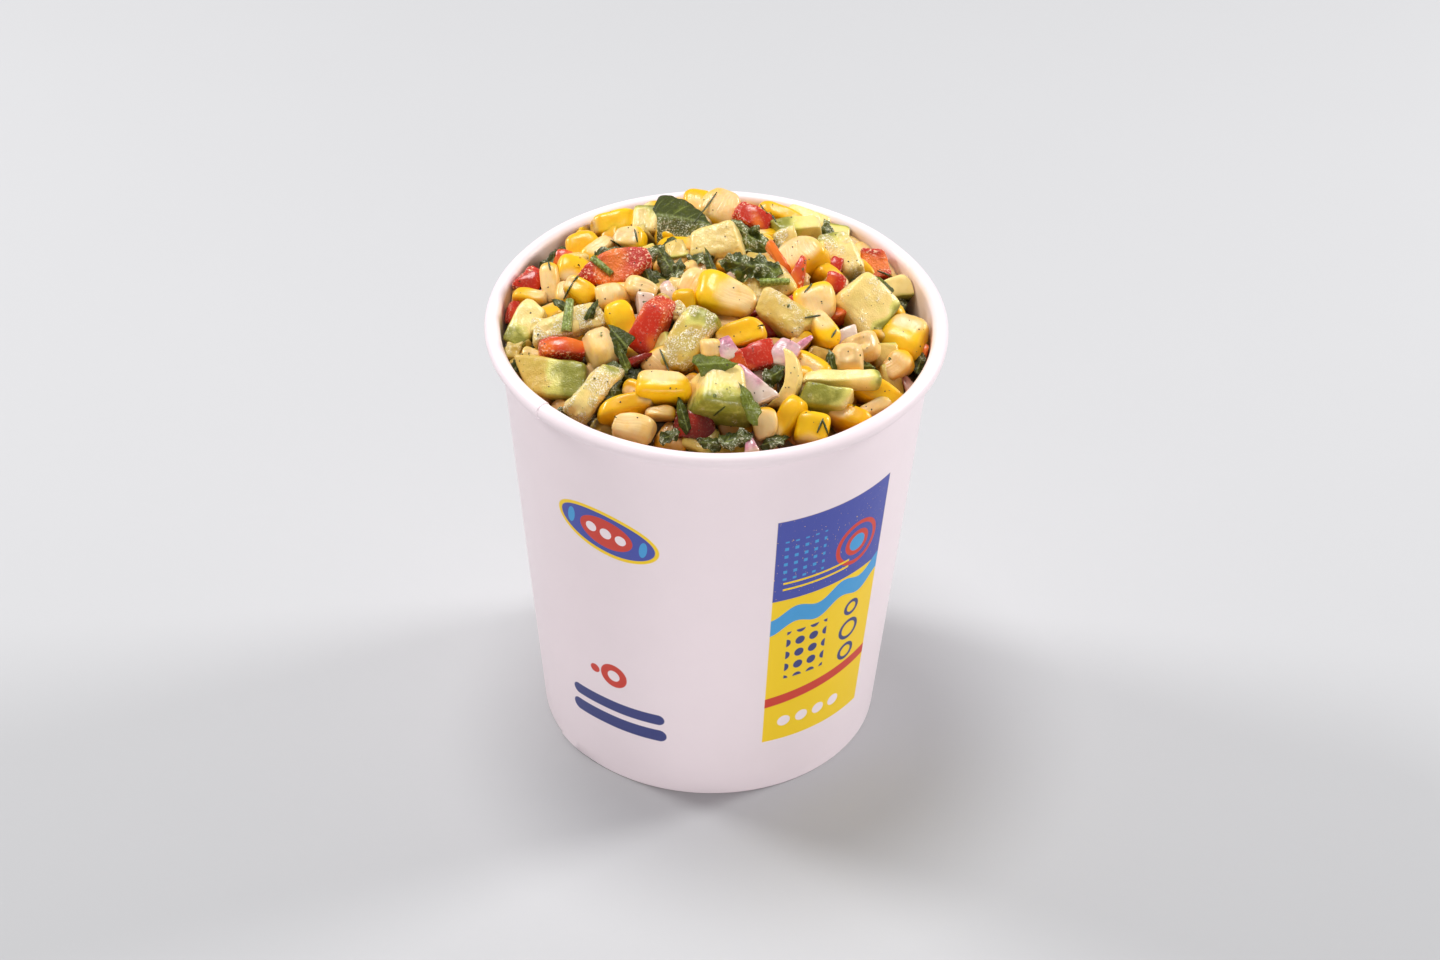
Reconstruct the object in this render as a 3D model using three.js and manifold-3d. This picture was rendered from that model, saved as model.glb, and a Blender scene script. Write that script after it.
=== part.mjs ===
// Corn guacamole salad heaped in a round paper cup with a rolled rim.
//
// Units are millimetres and +Z is up. The cup stands on z = 0 with its axis on the Z axis,
// and its front faces -Y. Two solids make the cup, the wall and the base disc pressed in
// above the foot. The salad is one more solid: a core that fills the cup, with every piece
// that shows on top joined to it at its real size.

import * as THREE from 'three';
import { mergeVertices } from 'three/addons/utils/BufferGeometryUtils.js';
import Module from 'manifold-3d';

const wasm = await Module();
wasm.setup();

// Cup
const CUP_HEIGHT = 102;
const RIM_OUTER_RADIUS = 49;
const FOOT_RADIUS = 36.9;
const BOARD = 0.45;
const ROLL_RADIUS = 1.7;
const ROLL_LIP_ANGLE = -120;
const HEM_THICKNESS = 1.5;
const HEM_HEIGHT = 7;
const CUP_SIDES = 72;

// Salad
const GAP = 0.3;
const HEAP_TOP = 108;
const HEAP_REACH = 45.5;
const HEAP_BULGE = 2.5;
const CORE_SINK = 3.2;
const CORE_SIDES = 36;
const CLEARANCE_SIDES = 48;

// Direction in which the heap is seen best, from the front and above
const VIEW_RAISE = THREE.MathUtils.degToRad(38);
const TOWARD_VIEW = new THREE.Vector3(0, -Math.cos(VIEW_RAISE), Math.sin(VIEW_RAISE));
const ACROSS = new THREE.Vector3(1, 0, 0);
const UPWARD = new THREE.Vector3(0, Math.sin(VIEW_RAISE), Math.cos(VIEW_RAISE));
const FACING_SHARE = 0.6;

// Pieces that show, as [x, y, length, width, thickness, turn in degrees, lift]. The turn is
// measured as seen from the front: 0 runs to the right and 90 runs up.
const KERNELS = [
  // left side
  [-39.5, 5, 9, 7, 5.5, -15, 0], [-35, 9, 11.5, 4.5, 4.5, 105, 0.8], [-31.3, 11.5, 9, 7.5, 5, 80, 0.3],
  [-32.5, 3.5, 6.5, 3.5, 4, 100, 0.5], [-29, 3, 8.5, 7, 5.5, 60, 0.3], [-26, 18.5, 9, 7, 5, 70, 0],
  [-16, 2.5, 7, 6, 5.5, 90, 1.2], [-22, 0, 9.5, 7, 6, 95, 1.2], [-20, -8.5, 8.5, 6.5, 5, 110, 0.5],
  [-24, -16, 9.5, 8, 6.5, 100, 1],
  // back
  [-30, 24, 9, 7, 5, 95, 0], [-23, 33, 9.5, 7.5, 5, 80, 0], [-19.5, 24, 8, 6.5, 5.5, 85, 0.6],
  [-5, 42, 8, 6, 5, 90, -1], [0, 38.5, 10, 8, 6, 80, 0.8], [13, 40, 10, 7, 5.5, 60, 0.4],
  [19, 38.5, 9.5, 6.5, 5.5, 20, 0.2],
  // right side
  [19, 17, 12.5, 10, 7, 80, 1.2], [20.5, 0.5, 9.5, 8.5, 6, 75, 1.2], [41, -0.5, 12.5, 7, 6, 60, 0.6],
  [22, -9, 8.5, 7.5, 6, 110, 1], [30, -10, 8.5, 7, 6, 20, 0.6], [27.6, -14, 6.5, 6, 5.5, 90, 1.6],
  [38, -11, 9, 7, 5.5, 45, -1.2], [35.5, -18, 9.5, 7.5, 6, 35, 0.8], [17.5, -13, 7, 5, 5, 60, -2],
  // middle
  [1.4, -0.5, 13.5, 10.5, 8, 165, 2.4], [-5.2, 4, 8, 6, 5, 60, 0.2], [-6.8, -3, 6.5, 5, 5, 100, -0.2],
  [5, -13, 10.5, 7.2, 6, 25, 1.6], [-1, -17.5, 5, 4.5, 4, 100, 2.6],
  // front
  [-10.3, -27.5, 10.8, 8.5, 7, 0, 1.6], [-18.5, -31, 11.5, 7, 6.5, 5, 1], [-16.2, -35.5, 9, 6, 5.5, -10, 0.6],
  [10.5, -34, 6.5, 5, 5, 100, 0.2], [15.2, -32, 9.5, 6.5, 6, 70, 0.4], [20, -33, 8, 7, 6, 80, 0.8],
  [28, -28.5, 10, 6.5, 6, 25, 0.6], [17.6, -23.5, 8, 5, 5, 80, -0.8], [33, -23.3, 7, 3.4, 4, 35, 0],
  [-17, -27, 5, 4.5, 4, 70, -1.2], [-11, -32.7, 6.5, 4, 4, 0, -1],
];
const AVOCADO = [
  [-40, -3.5, 11, 8.5, 7, 120, 0], [-31, -6.5, 15, 8.5, 8, 15, 0.2], [-34, -20, 16.5, 9.5, 9, -20, 0.4],
  [-25, -25.5, 12.5, 5.5, 5.5, 55, 1.8], [-5.5, -15, 13, 10.5, 6.5, 70, 1], [1.2, -29, 13.5, 12.5, 10, -10, 1.6],
  [14, -8, 11.5, 10, 8, -10, 1.2], [11, 1.5, 9, 8, 7, 100, 0.8], [12, 10.5, 11, 4.5, 5, 105, 0.8],
  [0, 20, 12.5, 11, 8, 85, 1.2], [31, 4, 14, 12, 7, 80, 1.2], [26.5, 25, 10, 9, 7, 85, 0.4],
  [16.5, 31, 11, 8, 7, 10, 0], [26, 35, 6.5, 5.5, 5, 80, 0], [39, 17, 8, 6, 5, 60, 0],
  [-17, 36, 10, 6, 5, 85, 0.3], [-9, 16, 6, 5, 5, 90, -0.5], [26, -20.5, 15.5, 4.6, 4, 17, 2.2],
  [20.5, -18, 9, 7.5, 6, 20, -0.6], [22.5, -26, 10.5, 5, 5, 8, 0.8], [-38, -14, 6.5, 4.5, 4.5, -30, -0.5],
  [-42.3, -10.5, 5, 4, 4, 80, -1], [-8, -6.5, 4.6, 4, 4, 120, 1], [-37, -5, 4.2, 3.6, 4, 90, 1.5],
];
const PEPPER = [
  [-21.5, 10.5, 15.5, 8.5, 6, 15, 1.2], [-40.3, 13, 8, 5, 5, 70, 0], [-43.3, 2, 6, 3, 4, 80, -1],
  [-13.8, -10.5, 13.5, 8, 5, 75, 1.6], [-32, -14, 9.5, 6, 6, -15, 0.8], [-16, -20.5, 8, 3.2, 4, 20, -0.6],
  [8.5, -19.5, 9.5, 7, 6, 20, 0.2], [4.6, -21.5, 7, 3.2, 4, 110, 0.4], [13.7, 12, 10, 3.2, 4, 110, 1.4],
  [17, 10, 9, 3.2, 4, 100, 1], [7.5, 36.5, 10.5, 6, 5, 110, 1.4], [33.7, 24.5, 8, 6.5, 5, 80, 0.2],
  [-33, 17.5, 5, 4.2, 4, 80, -0.4], [-4, -37, 9, 6, 5, -10, -0.6], [25, 9, 6, 5, 5, 80, -1],
  [25, 16.5, 5.5, 3.4, 3.5, 70, -0.6], [43.4, -3.5, 5, 3, 3.2, 70, -0.8], [16.5, -1.5, 5, 3.4, 4, 100, -1],
];
const ONION = [
  [9.2, -27, 10, 7.5, 3.2, 110, 2.6], [13.8, -17.5, 9.5, 4.6, 3.2, 65, 2.2], [2.8, -18, 5, 4, 3, 100, 1.6],
  [-7, -33.5, 6.8, 3.6, 2.6, 105, 2], [7.7, -37.6, 4.6, 3.6, 3, 30, 0.6], [-15.3, -5, 8, 2.8, 3, 85, 0.4],
  [15.6, -23.5, 13, 4, 3.4, 70, 1.4], [-10.8, 0, 9, 4, 4, 110, -1.2],
];
const LEAVES = [
  [-8.8, 34, 12.5, 10, 1, 100, 2.4], [6.3, 12, 10.5, 7.5, 1, 80, 2.8], [8.5, 24, 9, 6.5, 1, 100, 1.2],
  [-10.5, 11, 9.5, 4.6, 1, 120, 0.8], [-20.3, -12.5, 7.5, 5, 1, 130, 3.6], [0, -22, 9.6, 5, 1, 5, 8],
  [12, -23.3, 5.5, 3.8, 1, 35, 1.6], [-21.3, -26, 6.5, 4.6, 1, 100, 1], [4.5, -37.6, 7, 4.2, 1, 20, 0.6],
  [35, 14.5, 5.5, 4.6, 1, 60, 1.2], [-35.3, 19, 4.5, 4, 1, 90, 0.6], [-12, 19, 9, 4, 1, 30, 1.2],
  [24, -17, 6, 2.8, 1, 100, 1.8], [23.5, 33, 7, 3.2, 1, 100, 1.2], [-22.8, 18, 6, 3.6, 1, 10, 2.8],
];
const STEMS = [
  [-31, -4, 6.5, 2, 2, 88, 4.6], [-24.5, 12, 5.6, 1.6, 1.6, -42, 5.4], [12, 5.5, 6.2, 1.9, 1.9, 5, 4.2],
];

const SEED = 20611;

function makeRandom(seed) {
  let state = seed;
  return () => {
    state = (Math.imul(state, 1664525) + 1013904223) >>> 0;
    return state / 4294967296;
  };
}

// Radius of the outer face of the wall at a height
function wallRadius(z) {
  const rollCentre = CUP_HEIGHT - ROLL_RADIUS;
  const top = RIM_OUTER_RADIUS - 2 * ROLL_RADIUS + BOARD;
  return FOOT_RADIUS + (top - FOOT_RADIUS) * z / rollCentre;
}

// Height of the salad's face at a place in plan. It lies lowest at the front and right.
function heapHeight(x, y) {
  const angle = Math.atan2(y, x);
  const edge = 97.3 + 3.7 * Math.sin(angle) - 2 * Math.cos(angle);
  const reach = Math.min(Math.hypot(x, y) / HEAP_REACH, 1.05);
  return HEAP_TOP - (HEAP_TOP - edge) * Math.pow(reach, HEAP_BULGE);
}

function heapNormal(x, y) {
  const step = 0.5;
  const alongX = (heapHeight(x + step, y) - heapHeight(x - step, y)) / (2 * step);
  const alongY = (heapHeight(x, y + step) - heapHeight(x, y - step)) / (2 * step);
  return new THREE.Vector3(-alongX, -alongY, 1).normalize();
}

// Turn a profile of [radius, height] points about the Z axis
function turned(profile, sides) {
  const points = profile.map(([radius, height]) => new THREE.Vector2(radius, height));
  const geometry = new THREE.LatheGeometry(points, sides);
  geometry.rotateX(Math.PI / 2);
  return geometry;
}

// Points of an arc of the rolled rim, from one angle to another in degrees
function rollArc(radius, from, to, steps) {
  const points = [];
  for (let step = 0; step <= steps; step += 1) {
    const angle = THREE.MathUtils.degToRad(from + (to - from) * step / steps);
    const r = RIM_OUTER_RADIUS - ROLL_RADIUS + radius * Math.cos(angle);
    const z = CUP_HEIGHT - ROLL_RADIUS + radius * Math.sin(angle);
    points.push([r, z]);
  }
  return points;
}

// One sheet of board: a folded hem at the foot, a straight flaring wall, and a roll at the
// rim whose lip stays open underneath.
function cupWallGeometry() {
  const profile = [
    [FOOT_RADIUS - HEM_THICKNESS, 0],
    [FOOT_RADIUS, 0],
    ...rollArc(ROLL_RADIUS - BOARD, 180, ROLL_LIP_ANGLE, 5),
    ...rollArc(ROLL_RADIUS, ROLL_LIP_ANGLE, 180, 10),
    [wallRadius(HEM_HEIGHT) - BOARD, HEM_HEIGHT],
    [wallRadius(HEM_HEIGHT) - HEM_THICKNESS, HEM_HEIGHT],
  ];
  profile.push(profile[0]);
  return turned(profile, CUP_SIDES);
}

// The disc that closes the cup, lying on the hem
function cupBaseGeometry() {
  const low = HEM_HEIGHT + GAP;
  const high = low + BOARD;
  const radius = wallRadius(low) - BOARD - GAP;
  return turned([[0, low], [radius, low], [radius + 0.03, high], [0, high]], CUP_SIDES);
}

function toSolid(geometry) {
  const bare = geometry.clone();
  bare.deleteAttribute('normal');
  bare.deleteAttribute('uv');
  const merged = mergeVertices(bare, 1e-4);
  const index = merged.index.array;
  const corners = [];
  for (let i = 0; i < index.length; i += 3) {
    const [a, b, c] = [index[i], index[i + 1], index[i + 2]];
    if (a !== b && b !== c && c !== a) {
      corners.push(a, b, c);
    }
  }
  return new wasm.Manifold(new wasm.Mesh({
    numProp: 3,
    vertProperties: new Float32Array(merged.attributes.position.array),
    triVerts: new Uint32Array(corners),
  }));
}

function fromSolid(solid) {
  const mesh = solid.getMesh();
  const geometry = new THREE.BufferGeometry();
  geometry.setAttribute('position', new THREE.BufferAttribute(new Float32Array(mesh.vertProperties), 3));
  geometry.setIndex(new THREE.BufferAttribute(new Uint32Array(mesh.triVerts), 1));
  geometry.computeVertexNormals();
  return geometry;
}

// Move every point of a geometry by a function that changes the vector it is given. Points
// at the same place are given the same random numbers, so the faces stay joined.
function reshape(geometry, change) {
  const position = geometry.attributes.position;
  const point = new THREE.Vector3();
  for (let i = 0; i < position.count; i += 1) {
    point.fromBufferAttribute(position, i);
    change(point);
    position.setXYZ(i, point.x, point.y, point.z);
  }
  return geometry;
}

// A repeatable number from -1 to 1 for a place, so that equal points get equal numbers
function placeNoise(x, y, z, seed) {
  const value = Math.sin(x * 12.9898 + y * 78.233 + z * 37.719 + seed * 4.137) * 43758.5453;
  return 2 * (value - Math.floor(value)) - 1;
}

function rounded(value, power) {
  return Math.sign(value) * Math.pow(Math.abs(value), power);
}

// A sweet corn kernel: broad flat-sided crown at +X and a narrower tip at -X
function kernelGeometry(length, width, thickness) {
  const geometry = new THREE.SphereGeometry(1, 8, 4);
  geometry.rotateZ(Math.PI / 2);
  return reshape(geometry, (point) => {
    const along = rounded(point.x, 0.85);
    const narrow = 0.8 + 0.2 * Math.sin(along * Math.PI / 2);
    point.set(
      along * length / 2,
      rounded(point.y, 0.75) * narrow * width / 2,
      rounded(point.z, 0.75) * narrow * thickness / 2,
    );
  });
}

// A diced chunk with worn corners and faces that aren't quite square
function chunkGeometry(length, width, thickness, seed) {
  const geometry = new THREE.BoxGeometry(2, 2, 2, 2, 2, 1);
  return reshape(geometry, (point) => {
    const outer = [point.x, point.y, point.z].filter((value) => Math.abs(value) > 0.9).length;
    const worn = outer === 3 ? 0.84 : outer === 2 ? 0.94 : 1;
    const { x, y, z } = point;
    point.set(
      x * worn * (1 + 0.07 * placeNoise(x, y, z, seed)) * length / 2,
      y * worn * (1 + 0.07 * placeNoise(x, y, z, seed + 1)) * width / 2,
      z * worn * (1 + 0.05 * placeNoise(x, y, z, seed + 2)) * thickness / 2,
    );
  });
}

// A strip cut from a curved wall, bowed along its length
function stripGeometry(length, width, thickness, bow, taper) {
  const geometry = new THREE.BoxGeometry(2, 2, 2, 3, 1, 1);
  return reshape(geometry, (point) => {
    const { x, y, z } = point;
    const narrow = 1 - taper * x * x;
    point.set(
      x * length / 2,
      y * narrow * width / 2,
      z * thickness / 2 * (1 - 0.25 * taper * x * x) - bow * x * x,
    );
  });
}

// A thin leaf, pointed at +X, folded a little along its rib and wavy at the edges
function leafGeometry(length, width, thickness, seed) {
  const geometry = new THREE.BoxGeometry(2, 2, 2, 3, 2, 1);
  return reshape(geometry, (point) => {
    const { x, y, z } = point;
    const spread = 0.22 + 0.78 * Math.sqrt(Math.max(0, 1 - x * x));
    const wave = 0.05 * length * Math.sin(3.2 * x + seed) * Math.abs(y);
    point.set(
      x * length / 2,
      y * spread * width / 2,
      z * thickness / 2 + 0.16 * width * Math.abs(y) * spread + wave - 0.06 * length * x * x,
    );
  });
}

function stemGeometry(length, diameter) {
  const geometry = new THREE.CylinderGeometry(diameter / 2, diameter / 2, length, 6);
  geometry.rotateZ(Math.PI / 2);
  return geometry;
}

// Where a piece lies: its face looks partly off the heap and partly toward the front
function pieceMatrix([x, y, , , thickness, turn, lift], random) {
  const facing = heapNormal(x, y).multiplyScalar(1 - FACING_SHARE);
  facing.addScaledVector(TOWARD_VIEW, FACING_SHARE).normalize();
  const angle = THREE.MathUtils.degToRad(turn);
  const along = ACROSS.clone().multiplyScalar(Math.cos(angle));
  along.addScaledVector(UPWARD, Math.sin(angle));
  along.addScaledVector(facing, -along.dot(facing) + 0.2 * (random() - 0.5)).normalize();
  const side = new THREE.Vector3().crossVectors(facing, along).normalize();
  const out = new THREE.Vector3().crossVectors(along, side);
  const matrix = new THREE.Matrix4().makeBasis(along, side, out);
  const centre = new THREE.Vector3(x, y, heapHeight(x, y));
  centre.addScaledVector(TOWARD_VIEW, lift + 0.2 * thickness);
  centre.addScaledVector(out, -0.5 * thickness);
  return matrix.setPosition(centre);
}

// The packed inside of the heap, with a lumpy top a little below the pieces that show
function coreGeometry() {
  const low = HEM_HEIGHT + 2 * GAP + BOARD;
  const inner = (z) => wallRadius(z) - BOARD - GAP;
  const rings = [1, 0.88, 0.74, 0.6, 0.46, 0.31, 0.16, 0];
  const profile = [[0, low], [inner(low), low]];
  for (const ring of rings) {
    profile.push([ring * HEAP_REACH, HEAP_TOP]);
  }
  return reshape(turned(profile, CORE_SIDES), (point) => {
    if (point.z < HEAP_TOP - 1) {
      return;
    }
    const reach = Math.hypot(point.x, point.y) / HEAP_REACH;
    const sink = CORE_SINK + 1.2 * Math.sin(0.75 * point.x + 1) * Math.sin(0.7 * point.y + 2);
    const height = heapHeight(point.x, point.y) - sink;
    if (reach > 0.99) {
      const shrink = inner(height) / HEAP_REACH;
      point.set(point.x * shrink, point.y * shrink, height);
    } else {
      point.z = height;
    }
  });
}

// The room that the salad may fill: the inside of the cup, then out over the rim
function clearanceGeometry() {
  const low = HEM_HEIGHT + 2 * GAP + BOARD;
  const inner = (z) => wallRadius(z) - BOARD - GAP;
  const ceiling = HEAP_TOP + 20;
  const beyond = RIM_OUTER_RADIUS + 4;
  const profile = [
    [0, low],
    [inner(low), low],
    ...rollArc(ROLL_RADIUS + GAP, 180, 90, 3),
    [beyond, CUP_HEIGHT + GAP],
    [beyond, ceiling],
    [0, ceiling],
  ];
  return turned(profile, CLEARANCE_SIDES);
}

function saladGeometry() {
  const random = makeRandom(SEED);
  const kinds = [
    [KERNELS, ([, , length, width, thickness]) => kernelGeometry(length, width, thickness)],
    [AVOCADO, ([, , length, width, thickness], seed) => chunkGeometry(length, width, thickness, seed)],
    [PEPPER, ([, , length, width, thickness]) => stripGeometry(length, width, thickness, 0.08 * length, 0.12)],
    [ONION, ([, , length, width, thickness]) => stripGeometry(length, width, thickness, 0.1 * length, 0.5)],
    [LEAVES, ([, , length, width, thickness], seed) => leafGeometry(length, width, thickness, seed)],
    [STEMS, ([, , length, width]) => stemGeometry(length, width)],
  ];
  let heap = toSolid(coreGeometry());
  let seed = 1;
  for (const [rows, shape] of kinds) {
    for (const row of rows) {
      const piece = shape(row, seed);
      piece.applyMatrix4(pieceMatrix(row, random));
      heap = heap.add(toSolid(piece));
      seed += 3;
    }
  }
  heap = heap.intersect(toSolid(clearanceGeometry()));
  // Crumbs that touch nothing are dropped and pockets closed off inside are filled
  const bodies = heap.decompose();
  bodies.sort((a, b) => b.volume() - a.volume());
  return fromSolid(bodies[0]);
}

function board(color, roughness) {
  return new THREE.MeshStandardMaterial({ color, roughness, metalness: 0 });
}

const cup = new THREE.Group();

const cupWall = new THREE.Mesh(cupWallGeometry(), board(0xf0e6e8, 0.45));
cupWall.name = 'cup_wall';
cup.add(cupWall);

const cupBase = new THREE.Mesh(cupBaseGeometry(), board(0xe9dfe0, 0.55));
cupBase.name = 'cup_base';
cup.add(cupBase);

const salad = new THREE.Mesh(saladGeometry(), board(0xe7b440, 0.4));
salad.name = 'salad_heap';
cup.add(salad);

export default cup;
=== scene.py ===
"""Corn guacamole salad heaped in a round paper cup with a rolled rim.

Lengths in the tables are millimetres. +Z is up, the cup stands on z = 0 with its axis on the
Z axis, and its front faces -Y.
"""

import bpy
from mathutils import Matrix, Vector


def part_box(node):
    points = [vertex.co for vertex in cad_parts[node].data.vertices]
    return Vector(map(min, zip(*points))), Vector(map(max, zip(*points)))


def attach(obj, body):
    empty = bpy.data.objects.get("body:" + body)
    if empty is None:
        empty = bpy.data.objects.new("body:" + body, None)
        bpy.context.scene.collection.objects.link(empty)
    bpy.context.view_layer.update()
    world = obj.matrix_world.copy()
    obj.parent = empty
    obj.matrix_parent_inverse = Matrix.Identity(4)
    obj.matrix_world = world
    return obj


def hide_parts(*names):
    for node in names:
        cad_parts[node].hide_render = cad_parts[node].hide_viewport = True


bl_info = {
    "name": "Corn Guacamole Salad Cup",
    "version": (1, 0, 0),
    "blender": (4, 5, 0),
    "location": "3D View > Sidebar > Salad Cup",
    "description": "Builds a paper cup heaped with sweet corn, avocado, pepper, onion and herbs",
    "category": "Add Mesh",
}

import math

import bpy
import numpy as np
from bpy.props import FloatProperty, FloatVectorProperty, IntProperty, PointerProperty
from mathutils import Matrix, Vector
from mathutils.bvhtree import BVHTree

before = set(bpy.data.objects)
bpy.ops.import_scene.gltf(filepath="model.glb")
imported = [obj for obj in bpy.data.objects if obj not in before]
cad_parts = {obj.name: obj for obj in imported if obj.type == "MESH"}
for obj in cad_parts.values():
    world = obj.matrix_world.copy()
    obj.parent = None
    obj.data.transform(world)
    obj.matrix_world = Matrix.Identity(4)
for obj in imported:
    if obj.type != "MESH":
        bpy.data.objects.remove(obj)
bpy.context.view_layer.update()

MM = 0.001
WALL_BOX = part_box("cup_wall")
CUP_HEIGHT = WALL_BOX[1][2] / MM
RIM_RADIUS = WALL_BOX[1][0] / MM

# The heap's face: its height in the middle and at its edge, how much the edge rises to the back
# and falls to the right, how far out the edge lies, and how flat the middle is
HEAP_TOP = 108.0
HEAP_EDGE = 97.3
EDGE_RISE_BACK = 3.7
EDGE_FALL_RIGHT = 2
HEAP_REACH = 45.5
HEAP_BULGE = 2.5

# Directions as seen from the front: out of the view, up in it and across it
VIEW_RAISE = math.radians(38)
TOWARD_VIEW = np.array([0.0, -math.cos(VIEW_RAISE), math.sin(VIEW_RAISE)])
UPWARD = np.array([0.0, math.sin(VIEW_RAISE), math.cos(VIEW_RAISE)])
ACROSS = np.array([1.0, 0.0, 0.0])

# The pieces that show: x, y, the length and width that are seen from the front, thickness, the
# turn of the length in that view, lift, how far the face leans up and how far it swings right,
# and one to three numbers for how each kind is coloured or shaped. Angles are degrees.
# Kernels: how pale, from 0 all yellow to 1 all cream. The crown points along the turn.
KERNELS = [
    (-39.5, 5, 9, 6.6, 5.5, 165, 0, 35, -10, 0.35), (-35, 8.6, 10.5, 6.2, 5.5, 105, 1.2, 10, -20, 0.8),
    (-30.8, 11.2, 9.4, 7.6, 6, 70, 0.6, 25, 10, 0.2), (-32.5, 3.5, 6.5, 4, 4, 280, 0.5, 20, 0, 0.6),
    (-28.6, 3, 8.6, 6.8, 6.5, -40, 1.0, 20, 0, 0.1), (-26, 18.5, 9.5, 7, 5, 230, 0, 30, -10, 0.6),
    (-16.3, 1.8, 7.2, 6.4, 6, 160, 3.6, 20, 10, 1.0), (-21.7, -0.4, 8, 7.4, 7, 285, 2.0, 20, -10, 0.8),
    (-20, -8.5, 9.5, 7, 6, 110, 0.5, 10, 10, 0.0), (-24, -16, 10.5, 9, 8, 290, 1.4, 20, 15, 0.95),
    (-29.2, 22, 8, 7.2, 6.5, 95, 0, 15, 0, 0.0), (-22.4, 31.3, 11, 8, 6, 12, -0.6, 20, 0, 0.0),
    (-18.8, 22.4, 8.4, 7.4, 6.5, -10, 1.4, 20, -15, 0.75), (-5, 42, 8, 6, 5, 90, -1, 20, 0, 0.4),
    (-0.4, 37, 11.5, 9.5, 7.5, 250, 0.8, 20, 10, 0.75), (13, 38, 12, 7, 5.5, 150, 0.6, 35, 0, 0.0),
    (24, 37, 7, 4.5, 4, 20, -0.6, 30, 0, 0.85), (18.4, 16.6, 11.6, 11, 9, 300, 1.6, 20, -15, 0.66),
    (20.9, -0.2, 10.4, 9.6, 8, 110, 1.6, 15, 0, 0.66),
    (40, -1.8, 12, 12.4, 8.5, 250, 1.2, 25, -10, 0.3), (22, -9, 10, 8.6, 7.5, 300, 1.2, 25, 15, 0.4),
    (30, -10.4, 9, 7.6, 6, 20, 1.0, 15, 0, 0.95), (27.2, -14.4, 7.4, 7, 5.5, 90, 2.0, 10, 0, 0.95),
    (38, -11, 9, 7, 6, 45, -0.8, 20, 0, 0.7), (33.2, -20.2, 14, 8, 7, 155, 1.0, 20, 10, 0.0),
    (17.5, -13, 7, 5, 5, 60, -2, 20, 0, 0.3), (19.6, -20.6, 9, 11, 7, 70, -0.4, 20, -10, 0.5),
    (1.4, -0.8, 13.4, 12, 9, 162, 2.4, 20, 10, 0.5), (-5.2, 4, 8, 6, 5, 60, 0.2, 20, 0, 1.0),
    (-6.8, -3, 6.5, 5, 5, 100, -0.2, 10, 0, 0.0), (5, -13.4, 11, 7.2, 7, 18, 1.8, 15, 0, 0.0),
    (-1, -17.5, 5, 4.5, 4, 100, 2.6, 10, 0, 1.0), (-10.3, -27.5, 9, 11.4, 8, 270, 2.0, 24, 0, 0.36),
    (-18.5, -31, 12.5, 7.4, 7, 200, 1.2, 25, 0, 0.1), (-16.2, -35.6, 9, 7.6, 7, -10, 3.7, 20, 0, 1.0),
    (10.5, -34, 7.5, 5.4, 5, 100, 0.2, 10, 0, 0.75), (15.2, -32, 10.5, 7, 7, 60, 0.6, 10, -20, 0.15),
    (20, -33, 8.5, 7.4, 7, 80, 1.0, 15, 5, 0.05), (28, -28.5, 10.5, 7.4, 6.5, -20, 0.8, 25, 0, 0.3),
    (17.6, -23.5, 8, 5, 5, 80, -0.8, 20, 0, 0.2), (33.4, -23.8, 8, 5, 4.5, 25, 1.2, 25, 0, 0.9),
    (-17, -27, 5, 4.5, 4, 70, -1.2, 20, 0, 0.3), (-11, -32.7, 6.5, 4, 4, 0, -1, 20, 0, 0.8),
]
# Kernels whose cut end looks out, by their place in the table, which starts at 0
CUT_END_UP = (21, 22)
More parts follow.
